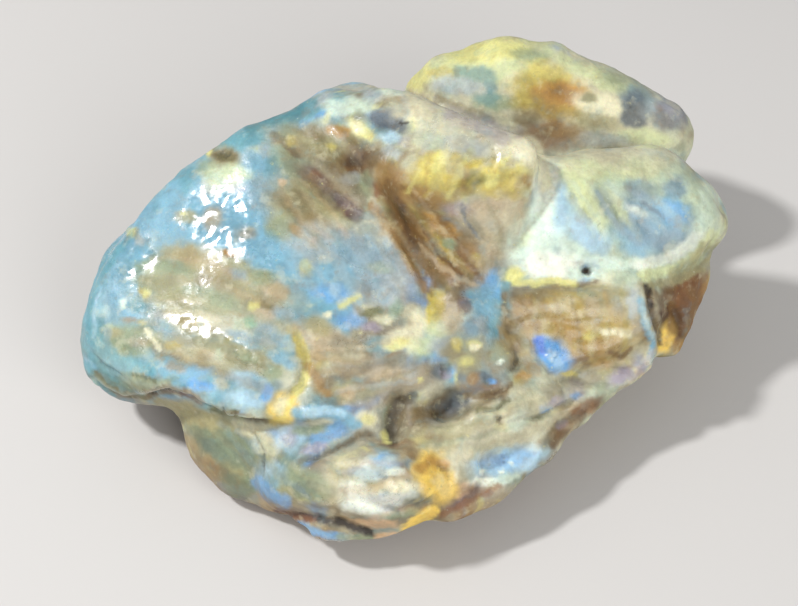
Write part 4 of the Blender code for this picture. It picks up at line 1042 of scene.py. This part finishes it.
def bare_skin(settings):
    """Makes a fine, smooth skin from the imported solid."""
    lump = bpy.data.objects[LUMP_NODE]
    mesh = bpy.data.meshes.new_from_object(lump)
    mesh.transform(lump.matrix_world)
    skin = bpy.data.objects.new("amber_body", mesh)
    bpy.context.scene.collection.objects.link(skin)
    bpy.ops.object.select_all(action="DESELECT")
    skin.select_set(True)
    bpy.context.view_layer.objects.active = skin
    weld = skin.modifiers.new("Weld", "WELD")
    weld.merge_threshold = WELD_REACH * MM
    remesh = skin.modifiers.new("Remesh", "REMESH")
    remesh.mode = "VOXEL"
    remesh.voxel_size = settings.skin_step
    smooth = skin.modifiers.new("Smooth", "SMOOTH")
    smooth.factor = 0.5
    smooth.iterations = settings.skin_smoothing
    for modifier in (weld, remesh, smooth):
        bpy.ops.object.modifier_apply(modifier=modifier.name)
    return skin


def path_steps(path):
    """Gives pixels along a mark's path, one every few pixels."""
    if len(path) == 1:
        return [Vector(path[0])]
    steps = []
    for start, end in zip(path[:-1], path[1:]):
        start, end = Vector(start), Vector(end)
        count = max(2, round((end - start).length / MARK_STEP))
        steps += [start.lerp(end, number / count) for number in range(count)]
    return steps + [Vector(path[-1])]


def lay_on_skin(path, view, tree):
    """Gives a mark's points on the skin, and how strong it is at each."""
    points = []
    strengths = []
    steps = path_steps(path)
    for number, pixel in enumerate(steps):
        place = tree.ray_cast(view.eye, view.ray(pixel))[0]
        if place is None:
            continue
        along = number / max(1, len(steps) - 1)
        to_end = min(along, 1.0 - along) if len(steps) > 1 else 1.0
        points.append(place)
        strengths.append(min(1.0, MARK_LEAST_STRENGTH + to_end / MARK_END_TAPER))
    return np.array(points), np.array(strengths)


def mark_height(is_ledge, half_width, height, trail, strengths, points, normals):
    """Gives how far a mark raises each point of the skin."""
    offsets = points[:, None, :] - trail[None, :, :]
    distances = np.linalg.norm(offsets, axis=2)
    nearest = distances.argmin(axis=1)
    own = np.arange(len(points))
    away = distances[own, nearest]
    full = height * strengths[nearest]
    if not is_ledge:
        return full * np.exp(-((away / half_width) ** 2))
    along = np.gradient(trail, axis=0)[nearest]
    side = np.cross(normals, along)
    side /= np.linalg.norm(side, axis=1, keepdims=True) + NEARLY_NOTHING
    signed = (side * offsets[own, nearest]).sum(axis=1)
    run = LEDGE_RUN * half_width
    return full * np.tanh(signed / half_width) * np.exp(-((away / run) ** 2))


def press_marks(mesh, view):
    """Presses the fine marks into the skin, and gives in mm how deep each point was pressed."""
    tree = face_tree(mesh)
    points = mesh_points(mesh)
    normals = mesh_normals(mesh)
    raised = np.zeros(len(points))
    for name, (half_width, height, path) in MARKS.items():
        is_ledge = name in LEDGES
        trail, strengths = lay_on_skin(path, view, tree)
        if len(trail) < (2 if is_ledge else 1):
            continue
        reach = half_width * MM * (LEDGE_REACH if is_ledge else MARK_REACH)
        low, high = trail.min(axis=0) - reach, trail.max(axis=0) + reach
        near = np.flatnonzero(((points > low) & (points < high)).all(axis=1))
        raised[near] += mark_height(
            is_ledge, half_width * MM, height * MM, trail, strengths, points[near], normals[near]
        )
    move_points(mesh, points + normals * raised[:, None])
    return np.maximum(-raised, 0.0) / MM


def ripple(mesh, settings):
    """Raises low ripples all over the skin."""
    points = mesh_points(mesh)
    broad = noise_field(points, settings.ripple_size, RIPPLE_NOISE)
    fine = noise_field(points, settings.ripple_size * FINE_RIPPLE, FINE_RIPPLE_NOISE, 2)
    height = settings.ripple_height * (broad + FINE_RIPPLE * fine)
    move_points(mesh, points + mesh_normals(mesh) * height[:, None])


def rest_on_floor(mesh):
    """Keeps the skin's underside flat on the floor."""
    points = mesh_points(mesh)
    points[:, 2] = np.where(points[:, 2] < FLOOR_REACH * MM, 0.0, points[:, 2])
    move_points(mesh, points)


def thin_far_side(skin, view):
    """Thins the skin out where it faces away from the main view, down to the most triangles."""
    far_side = skin.vertex_groups.new(name="far_side")
    far_side.add(np.flatnonzero(~view.facing(skin.data)).tolist(), 1.0, "REPLACE")
    triangles = sum(len(face.vertices) - 2 for face in skin.data.polygons)
    thin = skin.modifiers.new("Thin", "DECIMATE")
    thin.ratio = min(1.0, MOST_TRIANGLES / triangles)
    thin.vertex_group = far_side.name
    bpy.ops.object.modifier_apply(modifier=thin.name)
    skin.vertex_groups.clear()


# ---------------- the skin's colour


def linear(colour):
    """Turns a screen colour into the linear light that a shader works with."""
    screen = np.array(colour)
    return np.where(screen <= 0.04045, screen / 12.92, ((screen + 0.055) / 1.055) ** 2.4)


class Palette:
    """Lays pigments over the skin, one after another."""

    def __init__(self, pigments, count, ground):
        self.pigments = pigments
        self.paint = np.tile(self.colour(ground), (count, 1))

    def colour(self, name):
        """Gives a pigment's linear colour."""
        return linear(getattr(self.pigments, name))

    def lay(self, name, cover, where=slice(None)):
        """Lays a pigment over some of the skin's points."""
        below = self.paint[where]
        self.paint[where] = below + (self.colour(name) - below) * cover[:, None]


def lay_ground(palette, points):
    """Lays the patchwork that goes all round the lump, and a skirt that darkens towards its foot."""
    wander = wander_field(points, GROUND_WANDER_SIZE * MM, GROUND_WANDER_NOISES)
    slant = np.array(GROUND_SLANT) / np.linalg.norm(GROUND_SLANT)
    places = points + GROUND_WANDER * MM * wander
    along = (places @ slant)[:, None] * slant
    places = places - along + along / GROUND_DRAWN_OUT
    for number, (name, cover, size, free, softness) in enumerate(GROUND_LAYERS):
        field = noise_field(places, size * MM, FIRST_GROUND_NOISE + number)
        palette.lay(name, cover * step_up(field, free - softness, free + softness))
    height = points[:, 2] / MM + SKIRT_WANDER * wander[:, 0]
    for name, cover, high, low in SKIRT_LAYERS:
        palette.lay(name, cover * (1.0 - step_up(height, low, high)))


def daub_cover(pixels, fray, x, y, long, short, turn=0):
    """Gives how much of each point a daub covers."""
    angle = math.radians(turn)
    offset = pixels - np.array((x, y))
    along = (offset[:, 0] * math.cos(angle) + offset[:, 1] * math.sin(angle)) / long
    cross = (offset[:, 1] * math.cos(angle) - offset[:, 0] * math.sin(angle)) / short
    return 1.0 - step_up(np.sqrt(along**2 + cross**2) + fray, *DAUB_EDGE)


def stroke_cover(pixels, fray, path, half_width):
    """Gives how much of each point a stroke covers."""
    away = np.full(len(pixels), np.inf)
    for start, end in zip(path[:-1], path[1:]):
        start, end = np.array(start, float), np.array(end, float)
        span = end - start
        way = np.clip((pixels - start) @ span / (span @ span), 0.0, 1.0)
        away = np.minimum(away, np.linalg.norm(pixels - start - way[:, None] * span, axis=1))
    return 1.0 - step_up(away / half_width + fray, *STROKE_EDGE)


def fan_streaks(names, full_cover, half_width, count, first, last):
    """Gives the streaks of a fan, each a little wavy and a little stronger or weaker."""
    first, last = np.array(first, float), np.array(last, float)
    number_along = np.arange(len(first))
    streaks = []
    for number in range(count):
        path = first + (last - first) * number / (count - 1)
        for axis, (by_streak, by_point) in enumerate(FAN_WAVE_STEPS):
            wave = np.sin(by_streak * number + by_point * number_along)
            path[:, axis] += FAN_WAVE * half_width * wave
        swing = FAN_COVER_SWING * math.sin(FAN_COVER_STEP * number)
        cover = full_cover * (1.0 - FAN_COVER_SWING + swing)
        width = half_width * (1.0 + FAN_WIDTH_SWING * math.sin(FAN_WIDTH_STEP * number))
        streaks.append((names[number % len(names)], cover, width, path))
    return streaks


def seen_points(pixels, seen, low, high):
    """Gives which of the points that the main view sees lie in a box of pixels."""
    inside = ((pixels > low) & (pixels < high)).all(axis=1)
    return np.flatnonzero(inside & (seen > SEEN_LEAST))


def lay_daubs(palette, pixels, fray, seen):
    """Lays the daubs where the main view sees the skin."""
    for daubs in DAUBS.values():
        for name, cover, *place in daubs:
            middle = np.array(place[:2])
            reach = DAUB_REACH * max(place[2:4])
            near = seen_points(pixels, seen, middle - reach, middle + reach)
            part = cover * daub_cover(pixels[near], fray[near], *place)
            palette.lay(name, part * seen[near], near)


def lay_strokes(palette, pixels, fray, seen):
    """Lays the fans' streaks and then the strokes where the main view sees the skin."""
    streaks = [streak for fan in FANS.values() for streak in fan_streaks(*fan)]
    strokes = [stroke for strokes in STROKES.values() for stroke in strokes]
    for name, cover, half_width, path in streaks + strokes:
        reach = STROKE_REACH * half_width
        near = seen_points(pixels, seen, np.min(path, axis=0) - reach, np.max(path, axis=0) + reach)
        part = cover * stroke_cover(pixels[near], fray[near], path, half_width)
        palette.lay(name, part * seen[near], near)


def relief(mesh):
    """Gives how far each point lies below its surroundings, 1 for a hollow as deep as the relief."""
    points = mesh_points(mesh)
    edges = mesh_edges(mesh)
    evened = [spread(points[:, axis], edges, RELIEF_ROUNDS) for axis in range(3)]
    below = ((np.stack(evened, axis=1) - points) * mesh_normals(mesh)).sum(axis=1)
    return below / (RELIEF * MM)


def stain(mesh, settings, pigments, view, pressed):
    """Works out the skin's colour and its gloss, and keeps both on the mesh."""
    points = mesh_points(mesh)
    palette = Palette(pigments, len(points), GROUND_PIGMENT)
    lay_ground(palette, points)
    wander = wander_field(points, STAIN_WANDER_SIZE * MM, STAIN_WANDER_NOISES)
    pixels = view.pixels(points) + STAIN_WANDER * wander
    fray = FRAY * noise_field(points, FRAY_SIZE * MM, FRAY_NOISE)
    seen = spread(view.sees(mesh), mesh_edges(mesh), SEEN_ROUNDS)
    stained = seen * settings.stain_strength
    lay_daubs(palette, pixels, fray, stained)
    lay_strokes(palette, pixels, fray, stained)
    below = relief(mesh)
    crack = step_up(pressed, *CRACK_RANGE)
    pit = step_up(below, *PIT_RANGE)
    crest = step_up(-below, *CREST_RANGE)
    # The cracks and pits are darkened with painted shade, and the crests are laid paler.
    hollow_shade = settings.crack_shade * np.maximum(crack, PIT_SHADE * pit)
    palette.lay("dark", hollow_shade * SHADE_COVER)
    palette.lay("cream", CREST_COVER * crest)
    keep_colour(mesh, "stain", palette.paint)
    patches = noise_field(points, GLOSS_PATCH_SIZE * MM, GLOSS_NOISE)
    gloss = GLOSS_LEVEL + GLOSS_SWING * patches + CREST_GLOSS * crest
    for level, *place in GLOSSES.values():
        gloss += (level - gloss) * (daub_cover(pixels, fray, *place) * seen)
    gloss = np.clip(gloss - PIT_DULLNESS * np.maximum(pit, crack), 0.0, 1.0)
    keep_colour(mesh, "gloss", gloss[:, None])


def keep_colour(mesh, name, values):
    """Keeps a colour, or a grey, for each point of the mesh."""
    layer = mesh.color_attributes.new(name, "FLOAT_COLOR", "POINT")
    whole = np.ones((len(values), 4))
    whole[:, :3] = values
    layer.data.foreach_set("color", whole.ravel())


# ---------------- the material


def set_values(node, values):
    """Sets some of a node's values by their names."""
    for name, value in values.items():
        node.inputs[name].default_value = value


def new_group(name, inputs, outputs):
    """Makes an empty node group with its sockets, and gives its tree, input and output."""
    tree = bpy.data.node_groups.new(name, "ShaderNodeTree")
    for direction, sockets in (("INPUT", inputs), ("OUTPUT", outputs)):
        for socket, kind in sockets.items():
            tree.interface.new_socket(socket, in_out=direction, socket_type=kind)
    return tree, tree.nodes.new("NodeGroupInput"), tree.nodes.new("NodeGroupOutput")


def add_group(tree, group, socket, layer):
    """Adds a group's node, and gives it the place on the skin and a colour layer of the skin."""
    node = tree.nodes.new("ShaderNodeGroup")
    node.node_tree = group
    place = tree.nodes.new("ShaderNodeTexCoord")
    tree.links.new(place.outputs["Object"], node.inputs["Place"])
    colour = tree.nodes.new("ShaderNodeVertexColor")
    colour.layer_name = layer
    tree.links.new(colour.outputs["Color"], node.inputs[socket])
    return node


def add_noise(tree, place, size, detail):
    """Adds a noise whose patches are about as wide as the size in mm."""
    node = tree.nodes.new("ShaderNodeTexNoise")
    set_values(node, {"Scale": 1.0 / (size * MM), "Detail": detail, "Roughness": NOISE_ROUGHNESS})
    tree.links.new(place, node.inputs["Vector"])
    return node.outputs["Fac"]


def add_range(tree, value, *limits):
    """Adds a node that maps a value smoothly from a range, low and high, to another range."""
    node = tree.nodes.new("ShaderNodeMapRange")
    node.interpolation_type = "SMOOTHSTEP"
    set_values(node, dict(zip(("From Min", "From Max", "To Min", "To Max"), limits)))
    tree.links.new(value, node.inputs["Value"])
    return node.outputs["Result"]


def add_math(tree, operation, first, second):
    """Adds a sum of two sockets."""
    node = tree.nodes.new("ShaderNodeMath")
    node.operation = operation
    tree.links.new(first, node.inputs[0])
    tree.links.new(second, node.inputs[1])
    return node.outputs["Value"]


def add_mix(tree, cover, below, colour):
    """Adds a mix that lays a colour over the one below, as strongly as the cover says."""
    node = tree.nodes.new("ShaderNodeMix")
    node.data_type = "RGBA"
    cover_socket, below_socket, colour_socket = (item for item in node.inputs if item.enabled)
    tree.links.new(cover, cover_socket)
    tree.links.new(below, below_socket)
    colour_socket.default_value = (*colour, 1.0)
    return next(item for item in node.outputs if item.enabled)


def mottle_group(pigments):
    """Makes the group that breaks the stains up into fine mottling and flecks."""
    tree, given, made = new_group(
        "amber_mottle",
        {"Stain": "NodeSocketColor", "Place": "NodeSocketVector"},
        {"Colour": "NodeSocketColor"},
    )
    place = given.outputs["Place"]
    clouds, grain = (
        add_range(tree, add_noise(tree, place, size, detail), *limits)
        for size, detail, *limits in SHADES
    )
    lit = tree.nodes.new("ShaderNodeVectorMath")
    lit.operation = "SCALE"
    tree.links.new(given.outputs["Stain"], lit.inputs[0])
    tree.links.new(add_math(tree, "MULTIPLY", clouds, grain), lit.inputs["Scale"])
    mottled = lit.outputs["Vector"]
    for name, size, free, most in MOTTLES:
        patches = add_noise(tree, place, size, MOTTLE_DETAIL)
        cover = add_range(tree, patches, free, free + MOTTLE_EDGE, 0.0, most)
        mottled = add_mix(tree, cover, mottled, linear(getattr(pigments, name)))
    tree.links.new(mottled, made.inputs["Colour"])
    return tree


def surface_group():
    """Makes the group for how rough the skin is, how thick its coat is and how its grain stands."""
    tree, given, made = new_group(
        "amber_surface",
        {"Gloss": "NodeSocketFloat", "Place": "NodeSocketVector"},
        {name: "NodeSocketFloat" for name in ("Roughness", "Coat", "Height")},
    )
    place = given.outputs["Place"]
    gloss = given.outputs["Gloss"]
    specks = add_range(tree, add_noise(tree, place, *SPECKS), *SPECK_RANGE)
    rough = add_math(tree, "ADD", add_range(tree, gloss, *ROUGHNESS_RANGE), specks)
    tree.links.new(rough, made.inputs["Roughness"])
    tree.links.new(add_range(tree, gloss, *COAT_RANGE), made.inputs["Coat"])
    grit = add_math(
        tree, "MULTIPLY", add_noise(tree, place, *GRIT), add_range(tree, gloss, *GRIT_RANGE)
    )
    height = add_math(tree, "ADD", add_noise(tree, place, *LUMPS), grit)
    tree.links.new(height, made.inputs["Height"])
    return tree


def amber_material(settings, pigments):
    """Makes the amber: stained, cloudy, and glossy where the skin is worn."""
    material = bpy.data.materials.new("blue_amber")
    material.use_nodes = True
    tree = material.node_tree
    shader = tree.nodes["Principled BSDF"]
    mottle = add_group(tree, mottle_group(pigments), "Stain", "stain")
    surface = add_group(tree, surface_group(), "Gloss", "gloss")
    bump = tree.nodes.new("ShaderNodeBump")
    set_values(bump, BUMP_VALUES)
    tree.links.new(surface.outputs["Height"], bump.inputs["Height"])
    tree.links.new(mottle.outputs["Colour"], shader.inputs["Base Color"])
    tree.links.new(surface.outputs["Roughness"], shader.inputs["Roughness"])
    tree.links.new(surface.outputs["Coat"], shader.inputs["Coat Weight"])
    tree.links.new(bump.outputs["Normal"], shader.inputs["Normal"])
    set_values(shader, AMBER_VALUES | {"Transmission Weight": settings.see_through})
    return material


# ---------------- the pieces


class OBJECT_OT_amber_body(bpy.types.Operator):
    """Makes the lump's fine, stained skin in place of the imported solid"""

    bl_idname = "object.amber_body"
    bl_label = "Amber body"

    def execute(self, context):
        settings = context.scene.amber_settings
        pigments = context.scene.amber_pigments
        view = View()
        skin = bare_skin(settings)
        ripple(skin.data, settings)
        pressed = press_marks(skin.data, view)
        rest_on_floor(skin.data)
        stain(skin.data, settings, pigments, view, pressed)
        thin_far_side(skin, view)
        rest_on_floor(skin.data)
        skin.data.materials.clear()
        skin.data.materials.append(amber_material(settings, pigments))
        skin.data.shade_smooth()
        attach(skin, ROOT_BODY)
        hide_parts(LUMP_NODE)
        return {"FINISHED"}


class SCENE_OT_amber_stage(bpy.types.Operator):
    """Makes the plain floor, the soft studio light and the camera"""

    bl_idname = "scene.amber_stage"
    bl_label = "Stage"

    def execute(self, context):
        stage = context.scene.amber_stage_settings
        make_floor(stage)
        make_light(stage)
        make_camera(context.scene)
        context.scene.view_settings.view_transform = "Standard"
        return {"FINISHED"}


def make_floor(stage):
    """Makes a wide, plain, pale floor."""
    bpy.ops.mesh.primitive_plane_add(size=FLOOR_WIDTH)
    floor = bpy.context.active_object
    floor.name = "floor"
    material = bpy.data.materials.new("floor_paper")
    material.use_nodes = True
    colour = (*linear(stage.floor_colour), 1.0)
    shader = material.node_tree.nodes["Principled BSDF"]
    set_values(shader, {"Base Color": colour, "Roughness": FLOOR_ROUGHNESS})
    floor.data.materials.append(material)


def make_lamp(name, direction, size, power):
    """Makes a round lamp that looks at the middle of the view."""
    direction = Vector(direction).normalized()
    lamp = bpy.data.lights.new(name, "AREA")
    lamp.shape = "DISK"
    lamp.size = size
    lamp.energy = power
    thing = bpy.data.objects.new(name, lamp)
    bpy.context.scene.collection.objects.link(thing)
    thing.location = Vector(VIEW_CENTRE) * MM + direction * LIGHT_DISTANCE * MM
    thing.rotation_euler = direction.to_track_quat("Z", "Y").to_euler()


def make_light(stage):
    """Makes the two lamps, and an even white light from all round."""
    make_lamp("key_light", KEY_DIRECTION, stage.key_size, stage.key_power)
    make_lamp("fill_light", FILL_DIRECTION, stage.fill_size, stage.fill_power)
    world = bpy.data.worlds.new("studio")
    world.use_nodes = True
    white = (1.0, 1.0, 1.0, 1.0)
    set_values(world.node_tree.nodes["Background"], {"Color": white, "Strength": stage.room_light})
    bpy.context.scene.world = world


def make_camera(scene):
    """Puts the camera at the main view."""
    view = View()
    lens = bpy.data.cameras.new("camera")
    lens.lens = VIEW_LENS
    lens.sensor_width = VIEW_SENSOR
    lens.clip_start, lens.clip_end = VIEW_CLIP
    camera = bpy.data.objects.new("camera", lens)
    scene.collection.objects.link(camera)
    turn = Matrix((view.right, view.up, view.back)).transposed()
    camera.matrix_world = Matrix.Translation(view.eye) @ turn.to_4x4()
    scene.camera = camera


# ---------------- the add-on


class VIEW3D_PT_amber(bpy.types.Panel):
    """Lists what makes the lump, and what may be changed"""

    bl_label = "Blue amber"
    bl_idname = "VIEW3D_PT_amber"
    bl_space_type = "VIEW_3D"
    bl_region_type = "UI"
    bl_category = "Amber"

    def draw(self, context):
        scene = context.scene
        for operator in (OBJECT_OT_amber_body, SCENE_OT_amber_stage):
            self.layout.operator(operator.bl_idname)
        for group in (scene.amber_settings, scene.amber_stage_settings, scene.amber_pigments):
            box = self.layout.box()
            for name in group.__annotations__:
                box.prop(group, name)


CLASSES = (
    AmberPigments,
    AmberSettings,
    StageSettings,
    OBJECT_OT_amber_body,
    SCENE_OT_amber_stage,
    VIEW3D_PT_amber,
)


def register():
    """Adds the operators, the panel and the settings."""
    for item in CLASSES:
        bpy.utils.register_class(item)
    bpy.types.Scene.amber_pigments = bpy.props.PointerProperty(type=AmberPigments)
    bpy.types.Scene.amber_settings = bpy.props.PointerProperty(type=AmberSettings)
    bpy.types.Scene.amber_stage_settings = bpy.props.PointerProperty(type=StageSettings)


def unregister():
    """Takes them away again."""
    del bpy.types.Scene.amber_stage_settings
    del bpy.types.Scene.amber_settings
    del bpy.types.Scene.amber_pigments
    for item in reversed(CLASSES):
        bpy.utils.unregister_class(item)


def main():
    """Builds the scene."""
    register()
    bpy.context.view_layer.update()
    bpy.ops.object.amber_body()
    bpy.ops.scene.amber_stage()


if __name__ == "__main__":
    main()
